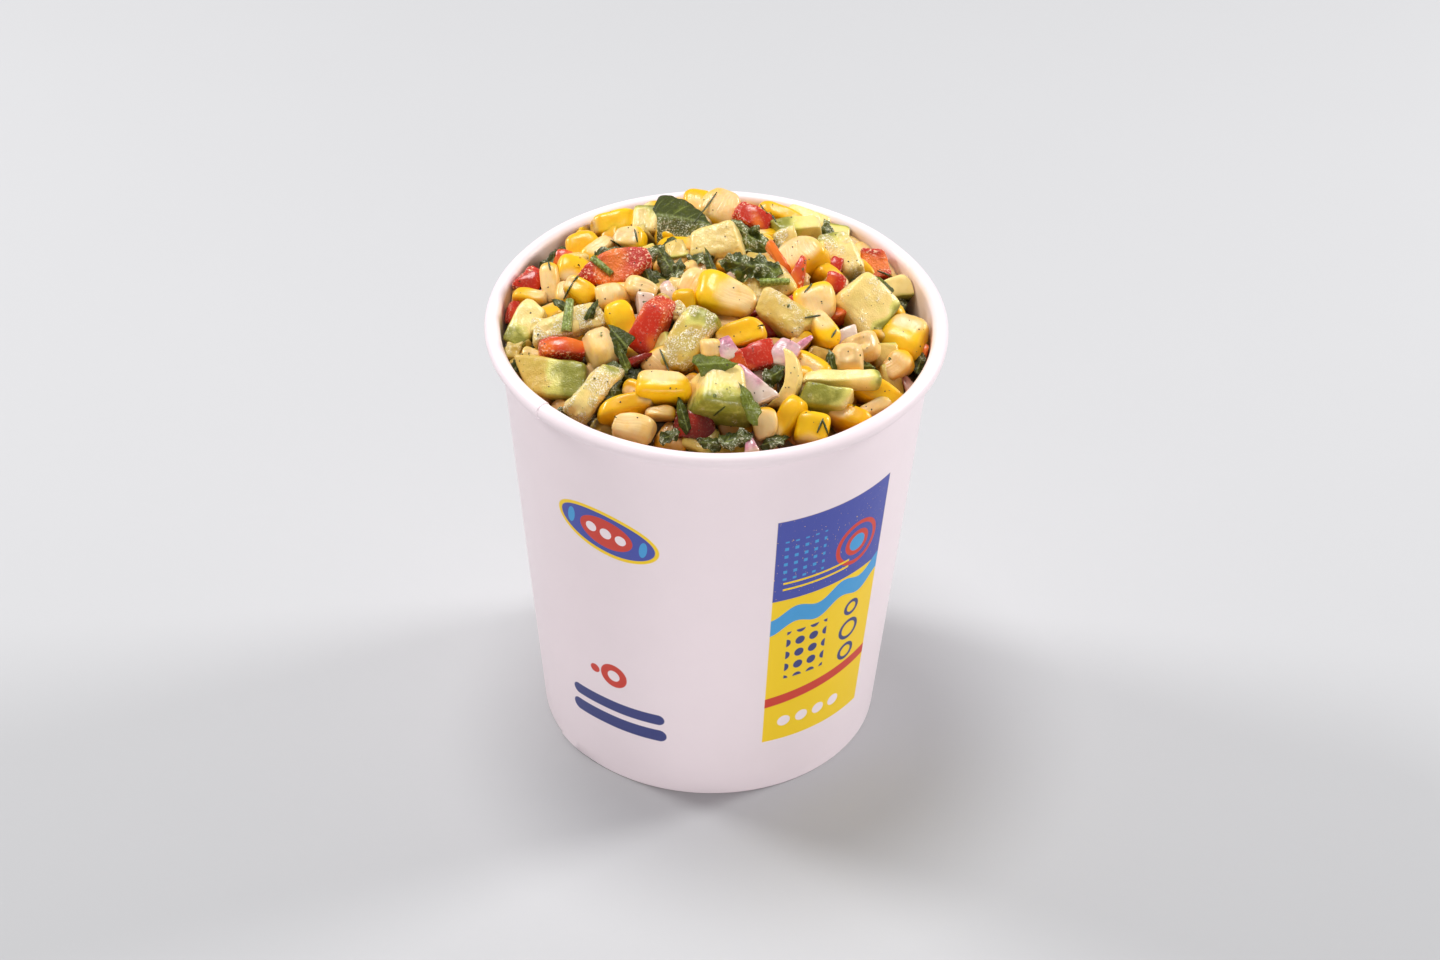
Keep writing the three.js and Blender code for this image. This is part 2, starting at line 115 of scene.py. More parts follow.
# Avocado: how green toward the end that the turn points to, how mashed its face is, and how tan, which
# on some pieces is painted shade
AVOCADO = [
    (-40, -3.5, 11, 8.6, 7, 245, 0.2, 15, -12, 1.8, 0.25, 0.1),
    (-31, -7.6, 17, 9.4, 8, 20, 0.6, 24, 0, 0.6, 1.0, 0.2),
    (-33.6, -21.6, 18, 12.6, 9, -8, 0.2, 22, -10, 2.0, 0.1, 1.0),
    (-24.6, -25.7, 15.5, 6, 5.5, 52, 3.4, 10, 10, 1.0, 1.0, 0.1),
    (-6, -15.6, 15.4, 11, 7, 62, 1.4, 14, -10, 1.3, 0.75, 1.2),
    (1.2, -29.2, 13.8, 13.8, 11, 262, 3.6, 30, 5, 1.7, 0.3, 0.1),
    (14, -6.8, 13.4, 9, 7, -32, 1.2, 20, 5, 0.0, 0.5, 0.7),
    (9.6, 6, 14.2, 12.8, 9, 290, 2.0, 22, 5, 0.0, 0.5, 0.5),
    (14.6, 21.8, 8, 6.5, 6, 100, -0.6, 20, 10, 0.5, 0.8, 0.4),
    (0.4, 17.6, 12, 12.6, 10, 105, 1.4, 26, -14, 0.0, 0.3, 0.3),
    (30, 1.6, 13, 16.6, 10, -36, 1.4, 22, 30, 1.1, 0.45, 0.3),
    (26.6, 20.4, 13, 10.5, 8, 110, 0.8, 28, 5, 1.2, 0.6, 0.1),
    (16.5, 29.6, 12.5, 8.4, 7, 190, 0.4, 38, 0, 2.2, 0.2, 0.0),
    (19, 37.6, 11, 6.6, 6, -24, 0.4, 25, 0, 0.0, 0.15, 0.05),
    (26, 33, 6.5, 5.5, 5, 80, 0, 30, 0, 1.4, 0.1, 0.0),
    (38.6, 16, 6.5, 7.5, 5, 290, 0, 15, 10, 1.1, 0.1, 0.1),
    (-15.4, 31.4, 9, 7, 6, 85, -1.0, 25, 0, 1.7, 0.2, 0.0),
    (-9, 16, 6.4, 5.4, 5, 290, 0, 25, 0, 0.95, 0.1, 0.5),
    (26, -20.6, 15.6, 5.6, 5, 3, 2.6, 35, 0, 0.9, 0.0, 0.1),
    (22.8, -26, 11, 6.6, 6, 175, 1.0, 20, 0, 3.0, 0.3, 0.2),
    (-38, -14, 6.5, 4.5, 4.5, -30, -0.5, 20, 0, 1.0, 0.1, 0.6),
    (-42.3, -10.5, 5, 4, 4, 80, -1, 20, 0, 0.1, 0.5, 0.8),
    (-8, -6.5, 4.6, 4, 4, 120, 1, 20, 0, 0.0, 1.0, 0.2),
    (-37, -5, 4.2, 3.6, 4, 90, 1.5, 20, 0, 0.0, 1.0, 0.2),
    (15.2, -24.2, 12.5, 4.4, 3.2, 72, 1.4, 5, -20, 0.0, 0.0, 0.3),
]
# Avocado slices that bend to a crescent, by their place in the table
BENT = (24,)
# Pepper: 1 where the skin looks out and 0 where the flesh does, its colour from -1 dark to 1
# orange, and how pointed, below 0 at both ends
# Colours below 0 turn to dark red: partly deep red, partly painted shade on pieces in shadow, as at
# the front
PEPPER = [
    (-21.8, 10.3, 16.6, 9.4, 6, 18, 2.4, 15, -5, 0, 0.4, -0.9),
    (-40.2, 11.8, 8, 5.8, 5, 60, 0, 20, 10, 1, -0.3, 0.3),
    (-43.3, 2, 6, 4, 4, 80, -1, 10, 20, 1, -0.3, 0.3),
    (-13.8, -10.5, 14, 9, 6, 70, 1.6, 8, -22, 1, 0.3, 0.4),
    (-32, -14, 10.5, 6.4, 6, -5, 0.8, 28, 0, 1, 0.5, 0.2),
    (-16, -20.5, 9, 3.4, 4, 25, -2.2, 30, 0, 1, -0.8, 0.9),
    (8.5, -19.5, 9.5, 8, 6, 20, 0.2, 20, 0, 1, 0.05, 0),
    (4.6, -21.5, 7, 3.6, 4, 110, 0.4, 0, 0, 1, 0.1, 0.2),
    (13.4, 11.4, 13, 4, 4, 120, 2.8, 0, 15, 1, 0.85, 0.3),
    (16.8, 8.8, 9.5, 4.6, 4, 72, 3, 10, 0, 1, 0.65, 0.9),
    (7.6, 34, 10, 6.4, 5, 150, 2.4, 20, 0, 1, 0.15, 0),
    (33.9, 23, 8.4, 6.4, 5, 100, 0.4, 20, 0, 0, 0.5, 0.1),
    (-33, 17.5, 5, 4.2, 4, 80, -0.4, 20, 0, 1, 0.8, 0),
    (-4, -36, 9.5, 7, 5, -14, -2.6, 10, 0, 1, -1, 0.3), (25, 9, 6, 5, 5, 80, -1.8, 20, 0, 1, 0.4, 0),
    (25, 16, 5.5, 3.8, 3.5, 70, -1.4, 10, 0, 1, 0.4, 0.5),
    (43.4, -3.5, 5, 3.4, 3.2, 70, -0.8, 10, -10, 1, 0.6, 0),
    (16.5, -1.5, 5, 3.4, 4, 100, -1, 10, 0, 1, 0.1, 0),
]
# Onion: how purple, how far the purple reaches in from the point, and how pointed
ONION = [
    (7.4, -25.8, 10, 8.8, 4, 118, 4.6, 5, -10, 1.0, 0.9, 1),
    (13.8, -17.5, 7.6, 6.8, 4, 62, 2.6, 15, 0, 0.8, 1.2, 0.2),
    (2.2, -17.6, 5.6, 4.6, 3.6, 120, 3.4, 10, 0, 1.0, 1.1, 0.3),
    (7.7, -38.3, 4.2, 3.6, 3, 100, 0.4, 10, 0, 1.0, 1.2, 0.8),
    (-15.3, -6, 9, 4.4, 3, -95, 0.4, 10, 10, 0.3, 0.2, 1),
    (-10.2, -0.4, 8, 4.6, 4, 110, -1.8, 10, 0, 0.4, 0.3, 0.8),
    (26.5, -9, 7, 5, 4, 200, 0.8, 15, 0, 0.7, 0.7, 0.3),
    (18.2, -13.4, 5.5, 2.4, 2.4, 40, 1.0, 10, 0, 1.0, 1.2, 0.8),
]
# Leaves: x, y, length, width, how sharply folded along the rib, turn, lift, from 0 smooth to 1
# curly, and how dark
LEAVES = [
    (-7.2, 31, 13, 15, 0.5, -12, 7.4, 0.0, 0.75), (6.9, 10.8, 13.2, 6, 0.4, 168, 7.6, 0.9, 0.6),
    (7.6, 22.8, 13, 6.4, 0.4, 140, 4.4, 0.9, 0.5), (-10.5, 11, 9.5, 4.6, 0.6, 120, 0.8, 0.4, 0.8),
    (-20.3, -13, 6.2, 5.6, 0.3, 130, 3.6, 0.0, 0.5), (0, -21.7, 8.2, 5, 0.4, 5, 8.4, 0.2, 0.1),
    (12, -23, 5.5, 3.8, 0.3, 35, 1.6, 0.8, 0.8), (-21.3, -26, 6.5, 4.6, 0.4, 100, 1, 0.7, 0.9),
    (4.5, -37.6, 7, 4.2, 0.2, 20, 0.6, 0.8, 0.9), (35, 14, 6, 4.6, 0.4, 130, 4.0, 0.1, 0.5),
    (-35.3, 18.6, 4.8, 4, 0.3, 90, 0.6, 0.6, 0.8), (-12, 18, 9, 4, 0.4, 30, 1.2, 0.9, 0.8),
    (24, -17, 6, 2.8, 0.3, 100, 1.8, 0.3, 0.7), (23.5, 31.5, 7, 3.6, 0.3, 100, 1.6, 0.8, 0.8),
    (-22.8, 17.4, 6, 3.6, 0.3, 10, 3.2, 0.5, 0.8), (-19.3, -18.5, 6.5, 2.2, 0.2, 112, 1.6, 0.2, 0.3),
    (7, -30.2, 8, 3.8, 0.3, 118, 6.4, 0.3, 0.0), (12.5, -37, 5.5, 3, 0.2, 15, 0.4, 0.8, 0.9),
    (-26, -3.2, 4.6, 2, 0.3, 70, 3.8, 0.3, 0.8), (-1.8, 12, 6.2, 2.4, 0.4, 108, 2.6, 0.2, 0.2),
    (31.5, -14.4, 3.4, 2.6, 0.2, 0, 0.6, 0.4, 0.5), (-41.5, -14, 3.4, 2.6, 0.2, 80, 0.6, 0.7, 0.8),
    (-9, -37.4, 4.5, 3, 0.2, 20, 0.4, 0.8, 0.9), (43, -6.5, 5, 3, 0.2, 70, -0.4, 0.4, 0.9),
    (-14.8, 7, 6.5, 4, 0.5, 110, 0.4, 0.2, 0.8), (-33, 0.5, 4, 2.2, 0.2, 150, 2.2, 0.5, 0.9),
    (-30.5, -29.5, 5, 2.4, 0.2, -10, 0.6, 0.7, 0.9), (-8.6, 8.6, 6, 3, 0.4, 75, 1.4, 0.8, 0.8),
    (-3.6, 14, 5, 3.4, 0.4, 20, 0.4, 0.8, 0.9), (-6.4, -33.2, 7.5, 3.2, 0.5, 108, 0.4, 0.2, 0.5),
    (-1, -38.8, 5, 3, 0.2, 170, -0.4, 0.5, 1.0),
]
# Stems: x, y, length, width, thickness, turn, lift, and how dark
STEMS = [
    (-31, -4, 7, 2, 2, 88, 6.2, 0.3), (-24.5, 12, 5.6, 1.5, 1.5, -42, 5.4, 0.7),
    (12, 5.5, 6.2, 1.6, 1.6, 5, 4.2, 0.1),
]
# Dill threads lying on the pieces: x, y, length, turn
THREADS = [
    (-3, 38, 9, 58), (-10.6, -20.3, 5, -66), (-31.4, 4.6, 4.2, 62), (21.7, -31.8, 3.2, 68),
    (22.8, -31.8, 3.2, -68), (19.3, 5.2, 3.2, 50), (20, -4.8, 3.4, 12), (24.5, -8.5, 2, 60),
    (9.6, 41, 3.2, -60), (11.6, 36.3, 3, -62), (-17.7, 24, 3, -75), (36, 21, 3.6, -20),
    (-21.2, 20.5, 4.5, -30), (-35.8, 16, 2.4, -75), (-29.8, 8.5, 2, 50), (1, -32.5, 3, 40),
]


def smooth(low, high, value):
    """0 at low and 1 at high, with a soft step between them."""
    t = np.clip((value - low) / (high - low), 0.0, 1.0)
    return t * t * (3 - 2 * t)


def waves(points, size, seed, count=14):
    """A smooth uneven number from about -1 to 1 at each point, with humps of the given size."""
    random = np.random.default_rng(seed)
    way = random.normal(size=(count, 3))
    way /= np.linalg.norm(way, axis=1)[:, None]
    pitch = 2 * math.pi / size * random.uniform(0.6, 1.5, count)
    phase = random.uniform(0, 2 * math.pi, count)
    total = np.zeros(len(points))
    for k in range(count):
        total += np.sin(points @ way[k] * pitch[k] + phase[k])
    return total / math.sqrt(count)


class CupShape:
    """The cup's sizes in millimetres, and what follows from them."""

    def __init__(self, sizes):
        self.foot = sizes.foot_radius / MM
        self.board = sizes.board_thickness / MM
        self.roll = sizes.roll_radius / MM
        self.hem_height = sizes.hem_height / MM
        self.hem_thickness = sizes.hem_thickness / MM
        self.roll_r = RIM_RADIUS - self.roll
        self.roll_z = CUP_HEIGHT - self.roll

    def wall(self, z):
        """Radius of the wall's outer face at a height."""
        top = self.roll_r - self.roll + self.board
        return self.foot + (top - self.foot) * z / self.roll_z

    def keep_inside(self, points, gap=0.35):
        """Press what would pass through the wall or the roll flat against its inside."""
        radius = np.hypot(points[:, 0], points[:, 1])
        z = points[:, 2]
        over = z - self.roll_z
        reach = self.roll + gap
        beside = self.roll_r - np.sqrt(np.maximum(reach**2 - over**2, 0))
        room = np.where(over < reach, beside, RIM_RADIUS + 2)
        room = np.where(over > 0, room, self.wall(z) - self.board - gap)
        scale = np.where(radius > room, room / np.maximum(radius, 1e-6), 1.0)
        points[:, 0] *= scale
        points[:, 1] *= scale
        return points


def heap_height(x, y):
    """Height of the salad's face at a place in plan. It lies lowest at the front and right."""
    angle = np.arctan2(y, x)
    edge = HEAP_EDGE + EDGE_RISE_BACK * np.sin(angle) - EDGE_FALL_RIGHT * np.cos(angle)
    reach = np.minimum(np.hypot(x, y) / HEAP_REACH, 1.05)
    return HEAP_TOP - (HEAP_TOP - edge) * reach**HEAP_BULGE


def heap_normal(x, y):
    """The direction straight off the heap's face at a place in plan."""
    step = 0.5
    along_x = (heap_height(x + step, y) - heap_height(x - step, y)) / (2 * step)
    along_y = (heap_height(x, y + step) - heap_height(x, y - step)) / (2 * step)
    normal = np.array([-along_x, -along_y, 1.0])
    return normal / np.linalg.norm(normal)


def looking(lean, swing):
    """The direction of a face turned up and to the right from the view, by degrees."""
    up, right = math.radians(lean), math.radians(swing)
    upright = TOWARD_VIEW * math.cos(up) + UPWARD * math.sin(up)
    return upright * math.cos(right) + ACROSS * math.sin(right)


def draped(x, y, share=0.6):
    """The direction of a face that looks partly off the heap and partly to the front."""
    facing = heap_normal(x, y) * (1 - share) + TOWARD_VIEW * share
    return facing / np.linalg.norm(facing)


class Pose:
    """How a piece lies: its axes, its middle, and its own size.

    Its length and width are given as they show from the front, where a leaning piece also
    shows its sides, so its own come out smaller. At a lift of 0 its front stands out of the
    heap's face by these shares of its thickness and of its depth in the view.
    """

    THICKNESS_OUT = 0.2
    DEPTH_SUNK = 0.85

    def __init__(self, x, y, seen, turn, lift, facing):
        angle = math.radians(turn)
        along_view = ACROSS * math.cos(angle) + UPWARD * math.sin(angle)
        beside_view = UPWARD * math.cos(angle) - ACROSS * math.sin(angle)
        along = along_view - facing * (along_view @ facing)
        along /= np.linalg.norm(along)
        self.axes = np.array([along, np.cross(facing, along), facing])
        shown = np.abs(self.axes @ np.array([along_view, beside_view]).T)
        half = np.array(seen) / 2
        own = np.linalg.solve(shown[:2].T, half[:2] - half[2] * shown[2])
        self.size = 2 * np.append(np.maximum(own, 0.5 * half[:2]), half[2])
        depth = np.abs(self.axes @ TOWARD_VIEW) @ self.size / 2
        self.middle = np.array([x, y, float(heap_height(x, y))])
        self.middle += TOWARD_VIEW * (lift + self.THICKNESS_OUT * seen[2] - self.DEPTH_SUNK * depth)


def cube_grid(n):
    """Points and four-sided faces of a cube from -1 to 1 with n squares along each edge."""
    index, points, faces = {}, [], []

    def at(p):
        key = tuple(p)
        if key not in index:
            index[key] = len(points)
            points.append([2 * c / n - 1 for c in key])
        return index[key]

    for axis in range(3):
        for end in (0, n):
            for i in range(n):
                for j in range(n):
                    corners = []
                    for a, b in ((i, j), (i + 1, j), (i + 1, j + 1), (i, j + 1)):
                        p = [0, 0, 0]
                        p[axis] = end
                        p[(axis + 1) % 3] = a
                        p[(axis + 2) % 3] = b
                        corners.append(at(p))
                    faces.append(corners if end else corners[::-1])
    return np.array(points), np.array(faces)


def rounded(points, power):
    """The cube's points drawn in to a rounder body. Power 2 is a ball and 10 nearly a box."""
    eased = np.tan(points * 0.72) / math.tan(0.72)
    size = (np.abs(eased) ** power).sum(axis=1) ** (1 / power)
    return eased / size[:, None]


# Flat faces of a body: a direction, and how far out the face lies
BLOCK = ((1, 0, 0, 1), (-1, 0, 0, 1), (0, 1, 0, 1), (0, -1, 0, 1), (0, 0, 1, 1), (0, 0, -1, 1))
KERNEL_FACES = (
    (1, 0, 0, 1), (-1, 0, 0, 0.9), (-0.2, 1, 0, 0.87), (-0.2, -1, 0, 0.87), (-0.08, 0, 1, 0.94),
    (-0.08, 0, -1, 0.94), (1, 1.1, 0, 1.75), (1, -1.1, 0, 1.75), (0.9, 0, 1, 1.6), (0.9, 0, -1, 1.6),
)
TIP, FLAT_UP, FLAT_DOWN = 1, 4, 5  # places of these faces in both


def carved(points, faces, power, random, loose):
    """The cube's points drawn in to a body with these flat faces and soft edges between them.

    Power 5 gives pebbles and 10 crisp cuts. The body fills its box from -1 to 1. Also gives each
    point's share in each face.
    """
    eased = np.sin(points * 1.1) / math.sin(1.1)
    faces = np.array(faces, float)
    ways = faces[:, :3] + random.normal(0, loose, (len(faces), 3))
    reach = faces[:, 3] * (1 + random.normal(0, 0.5 * loose, len(faces)))
    pull = np.maximum(eased @ ways.T / reach, 0) ** power
    total = pull.sum(axis=1)
    body = eased * (total ** (-1 / power))[:, None]
    low, high = body.min(axis=0), body.max(axis=0)
    return (2 * body - low - high) / (high - low), pull / total[:, None]


def trimmed(random, count):
    """Faces that cut off some of a block's corners, as a knife does."""
    faces = []
    for _ in range(count):
        corner = random.choice((-1, 1), 3) * random.uniform(0.3, 1, 3)
        faces.append((*corner, np.abs(corner).sum() * random.uniform(0.7, 0.9)))
    return faces


def outward(body):
    """Unit directions from the middle of a body to its points."""
    return body / np.maximum(np.linalg.norm(body, axis=1), 1e-6)[:, None]


def uneven(points, amount, random):
    """Shift the eight corners of the body, and all between them, by a random share."""
    shift = random.uniform(-amount, amount, (2, 2, 2, 3))
    t = (points + 1) / 2
    moved = points.copy()
    for a in (0, 1):
        for b in (0, 1):
            for c in (0, 1):
                weight = (
                    np.abs(1 - a - t[:, 0]) * np.abs(1 - b - t[:, 1]) * np.abs(1 - c - t[:, 2])
                )
                moved += weight[:, None] * shift[a, b, c]
    return moved


class Batch:
    """Many small closed shapes gathered into one mesh, with numbers at each point."""

    def __init__(self):
        self.points, self.faces, self.numbers, self.count = [], [], {}, 0

    def add(self, points, faces, **numbers):
        self.points.append(points)
        self.faces.append(faces + self.count)
        for name, value in numbers.items():
            column = self.numbers.setdefault(name, [])
            column.append(np.broadcast_to(np.asarray(value, float), (len(points),)))
        self.count += len(points)

    def build(self, name, material, sharp=None):
        points = np.concatenate(self.points) * MM
        faces = np.concatenate(self.faces)
        mesh = bpy.data.meshes.new(name)
        mesh.vertices.add(len(points))
        mesh.vertices.foreach_set("co", points.astype(np.float32).ravel())
        sides = faces.shape[1]
        mesh.loops.add(faces.size)
        mesh.loops.foreach_set("vertex_index", faces.astype(np.int32).ravel())
        mesh.polygons.add(len(faces))
        starts = np.arange(0, faces.size, sides, dtype=np.int32)
        mesh.polygons.foreach_set("loop_start", starts)
        mesh.update(calc_edges=True)
        mesh.validate()
        mesh.polygons.foreach_set("use_smooth", np.ones(len(mesh.polygons), bool))
        if sharp is not None:
            mesh.set_sharp_from_angle(angle=math.radians(sharp))
        for key, column in self.numbers.items():
            values = np.concatenate(column).astype(np.float32)
            layer = mesh.attributes.new(key, "FLOAT", "POINT")
            layer.data.foreach_set("value", values)
        mesh.materials.append(material)
        piece = bpy.data.objects.new(name, mesh)
        bpy.context.scene.collection.objects.link(piece)
        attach(piece, "root")
        return piece


PLUMP = 1.05  # rounded pieces look smaller than the boxes they are measured by
CUBE_FINE = cube_grid(22)
CUBE_MEDIUM = cube_grid(16)
CUBE_COARSE = cube_grid(8)
CUBE_SPECK = cube_grid(2)


def kernel(length, width, thickness, pale, random, cube, cut_up=False):
    """A sweet corn kernel: a broad crown at +X, flattish sides and a narrow cut tip at -X.

    With its cut up, the tip looks along +Z and the kernel is a little longer than it shows.
    """
    if cut_up:
        length, width, thickness = thickness + 2, length, width
    body, share = carved(cube[0], KERNEL_FACES, 3.4 if cut_up else 4.8, random, 0.07)
    x, y, z = body.T.copy()
    flat = share[:, FLAT_UP] + share[:, FLAT_DOWN]
    centre_line = np.hypot(y, z)
    dent = random.uniform(0, 0.14) * smooth(0.5, 0.95, x) * np.exp(-(centre_line**2) / 0.2)
    cone = 0.2 * smooth(0.5, 0.1, centre_line) + 0.03 * np.sin(centre_line * 22)
    body[:, 0] += share[:, TIP] * cone - dent
    body[:, 1] += random.uniform(-0.16, 0.16) * x * x
    body[:, 2] *= 1 - 0.1 * flat * (1 - y * y) * smooth(0.5, -0.6, x)
    size = np.array([length, width, thickness]) / 2
    points = body * size
    seed = int(random.integers(1 << 30))
    uneven_skin = 0.09 * waves(points, 4.5, seed) + 0.02 * waves(points, 1.5, seed + 1)
    points += outward(body) * uneven_skin[:, None]
    edge = 1.25 - 2.4 * pale
    face = 0.5 * flat * (1 - y * y) + 0.4 * share[:, TIP]
    cream = smooth(edge - 0.2, edge + 0.25, face - x + 0.1 * waves(points, 4.0, seed + 2))
    middle = smooth(0.1, 0.65, np.maximum(flat * (1 - y * y), share[:, TIP]))
    cream *= 1 - (0.55 - 0.4 * pale * pale) * (1 - middle)
    lines = points[:, 1] + 0.4 * waves(points, 6.0, seed + 3)
    if cut_up:
        points = points[:, [1, 2, 0]] * np.array([1, -1, -1])
    ring = share[:, TIP] * smooth(0.2, 0.5, centre_line)
    return points, {"cream": cream, "ring": ring, "lines": lines, "tone": random.uniform(-1, 1)}


def chunk(length, width, thickness, green, mashed, tan, random, cube, bend=0.0):
    """A diced piece of avocado, greener toward +X, where the skin was, and softer where mashed."""
    body, share = carved(cube[0], [*BLOCK, *trimmed(random, 2)], 10 - 4 * mashed, random, 0.1)
    x = body[:, 0]
    size = np.array([length, width, thickness]) / 2
    points = body * size
    seed = int(random.integers(1 << 30))
    broad = 0.18 * waves(points, 8.0, seed) + 0.04 * waves(points, 2.6, seed + 1)
    lumps = 0.16 * np.abs(waves(points, 2.6, seed + 2))
    crumb = mashed * (lumps + 0.07 * waves(points, 1.4, seed + 5))
    points += outward(body) * (broad + crumb)[:, None]
    points[:, 1] += bend * length * (x * x - 0.4)
    outer = x + 0.35 * share[:, 0] + 0.15 * waves(points, 5.0, seed + 3)
    skin = smooth(1.25 - 0.8 * green, 1.85 - 0.6 * green, outer)
    froth = mashed * smooth(-1.3, 0.3, waves(points, 4.5, seed + 4))
    return points, {"green": skin, "froth": froth, "tan": tan}


def slab(length, width, thickness, skin_out, orange, point, random, cube):
    """A strip of pepper with skin on its bowed +Z face and paler flesh on the other sides.

    It narrows toward +X by the given share, or toward both ends where that is below 0.
    """
    slope, out = 0.6 * abs(point), 1 - 0.1 * abs(point)
    sides = [(slope, 1, 0, out), (slope, -1, 0, out), (-slope, 1, 0, out), (-slope, -1, 0, out)]
    ends = sides[2:] if point < 0 else []
    faces = [*BLOCK[:2], *sides[:2], *BLOCK[4:], *ends, *trimmed(random, 2)]
    body, share = carved(cube[0], faces, 9.0, random, 0.07)
    x, y, _ = body.T
    skin = smooth(0.3, 0.7, share[:, FLAT_UP])
    size = np.array([length, width, thickness]) / 2
    points = body * size
    seed = int(random.integers(1 << 30))
    rough = (1 - skin) * (0.1 * waves(points, 1.8, seed) + 0.05 * waves(points, 1.1, seed + 1))
    points += outward(body) * (rough + 0.1 * waves(points, 6.0, seed + 2))[:, None]
    bow = 0.09 * length
    points[:, 2] -= bow * x * x + 0.05 * width * y * y - 0.4 * bow
    if not skin_out:
        points[:, 1:] *= -1
        orange = orange * (1.7 - 2 * x * x)
    warm = np.clip(orange + 0.35 * waves(points, 6.0, seed + 3), -1, 1)
    return points, {"skin": skin, "orange": warm, "tone": random.uniform(-1, 1)}


def petal(length, width, thickness, purple, reach, point, random, cube):
    """A cut of red onion: a bowed wedge, purple and more or less pointed at +X."""
    sides = [(0.5 * point, 1, 0, 1 - 0.38 * point), (0.5 * point, -1, 0, 1 - 0.38 * point)]
    body, _ = carved(cube[0], [*BLOCK[:2], *sides, *BLOCK[4:]], 11.0, random, 0.08)
    x, y, z = body.T
    points = np.empty_like(body)
    seed = int(random.integers(1 << 30))
    points[:, 0] = x * length / 2
    points[:, 1] = y * width / 2
    points[:, 2] = z * thickness / 2 * (1 - 0.25 * x) - 0.08 * length * x * x - 0.1 * width * y * y
    points += (0.05 * waves(points, 2.5, seed))[:, None]
    edge = smooth(1.0 - 1.7 * reach, 1.3 - 1.0 * reach, x + 0.2 * waves(points, 4.0, seed + 1))
    layers = 0.5 + 0.5 * np.sin(z * 9 + 0.6 * waves(points, 5.0, seed + 2))
    colour = purple * np.maximum(edge, smooth(0.55, 0.95, np.abs(y) + 0.3 * x) * 0.5)
    return points, {"purple": colour, "layer": layers}


# Half width of a smooth leaf from its root to its tip, as shares of the widest
LEAF_OUTLINE = (1.0, 0.98, 0.86, 0.72, 0.56, 0.38, 0.14)


def leaf(length, width, folded, curly, dark, random, rows=26, columns=15):
    """A thin wavy leaf, pointed at +X, closed all round, with its rib and veins as numbers.

    Its halves hang down from the rib, the more so the more it is folded.
    """
    u = np.linspace(-1, 1, rows)
    v = np.linspace(-1, 1, columns)
    x, y = [a.ravel() for a in np.meshgrid(u, v, indexing="ij")]
    seed = int(random.integers(1 << 30))
    edges = []
    for phase in random.uniform(0, 2 * math.pi, 2):
        chopped = random.uniform(0.7, 1.08, 7)
        chopped[[0, -1]] = random.uniform(0.2, 0.6, 2)
        chopped += (1 - curly) * (LEAF_OUTLINE - chopped)
        station = (x + 1) * 2.999  # from 0 to just under 6, the last of the seven
        before = station.astype(int)
        share = smooth(0, 1, station - before)
        edge = chopped[before] * (1 - share) + chopped[before + 1] * share
        lobes = 1 + curly * (0.22 * np.sin(9 * x + phase) + 0.08 * np.sin(31 * x + 2 * phase))
        edges.append(edge * lobes * np.sqrt(1 - 0.93 * np.abs(x) ** np.where(x < 0, 34, 5)))
    spread = np.where(y > 0, edges[0], edges[1])
    slant = (curly * random.uniform(-0.3, 0.3) - (1 - curly) * 0.2) * y
    flat = np.stack(
        [(x + slant * np.abs(x)) * length / 2, y * spread * width / 2, np.zeros_like(x)], axis=1
    )
    fold = -folded * np.abs(flat[:, 1]) * (1 - 0.2 * x)
    curl = -0.05 * length * x * x
    ripple = (0.2 + 0.5 * curly) * waves(flat, 5.0 - 1.5 * curly, seed) * (0.4 + np.abs(y))
    quilt = (0.05 + 0.2 * curly) * waves(flat, 1.8, seed + 1) + 0.05 * waves(flat, 1.0, seed + 4)
    vein = np.abs(np.sin((x - 0.55 * np.abs(y)) * (8 + 0.35 * length)))
    veins = smooth(0.2, 0.02, vein) * smooth(1.0, 0.6, np.abs(y))
    rib = smooth(0.14, 0.02, np.abs(y))
    # Painted light: lighter on the crumple's ridges, darker in its hollows, and a painted sheen on the
    # lower half of large smooth leaves
    ridges = smooth(-0.5, 0.7, (ripple + quilt) / (0.2 + 0.4 * curly))
    sheen = 0.8 * smooth(0.25, -0.2, y) * smooth(5, 10, width)
    crest = curly * ridges + (1 - curly) * sheen
    flat[:, 2] = fold + curl + ripple + quilt - 0.08 * np.maximum(rib, 0.6 * veins)
    half = min(0.16, 0.05 * width)
    top, under = flat.copy(), flat.copy()
    rim = (np.abs(x) > 0.999) | (np.abs(y) > 0.999)
    top[:, 2] += np.where(rim, 0.35 * half, half)
    under[:, 2] -= np.where(rim, 0.35 * half, half)
    numbers = {
        "vein": np.tile(np.maximum(rib, 0.7 * veins), 2),
        "dark": np.clip(dark + 0.25 * np.tile(waves(flat, 6.0, seed + 2), 2), 0, 1),
        "back": np.repeat([0.0, 1.0], rows * columns),
        "crest": np.tile(crest, 2),
    }
    return np.concatenate([top, under]), two_faced(rows, columns), numbers


def grid_indices(rows, columns):
    """Row and column of each cell of a grid, as two flat lists."""
    return [a.ravel() for a in np.meshgrid(np.arange(rows), np.arange(columns), indexing="ij")]


def two_faced(rows, columns):
    """Faces of a closed thin body: a grid of points, the same grid below it, and its edge."""
    count = rows * columns
    grid = np.arange(count).reshape(rows, columns)
    a, b, c, d = grid[:-1, :-1], grid[1:, :-1], grid[1:, 1:], grid[:-1, 1:]
    upper = np.stack([a, b, c, d], axis=-1).reshape(-1, 4)
    ring = np.concatenate([grid[:, 0], grid[-1, 1:], grid[-2::-1, -1], grid[0, -2:0:-1]])
    follow = np.roll(ring, -1)
    side = np.stack([follow, ring, ring + count, follow + count], axis=1)
    return np.concatenate([upper, upper[:, ::-1] + count, side])


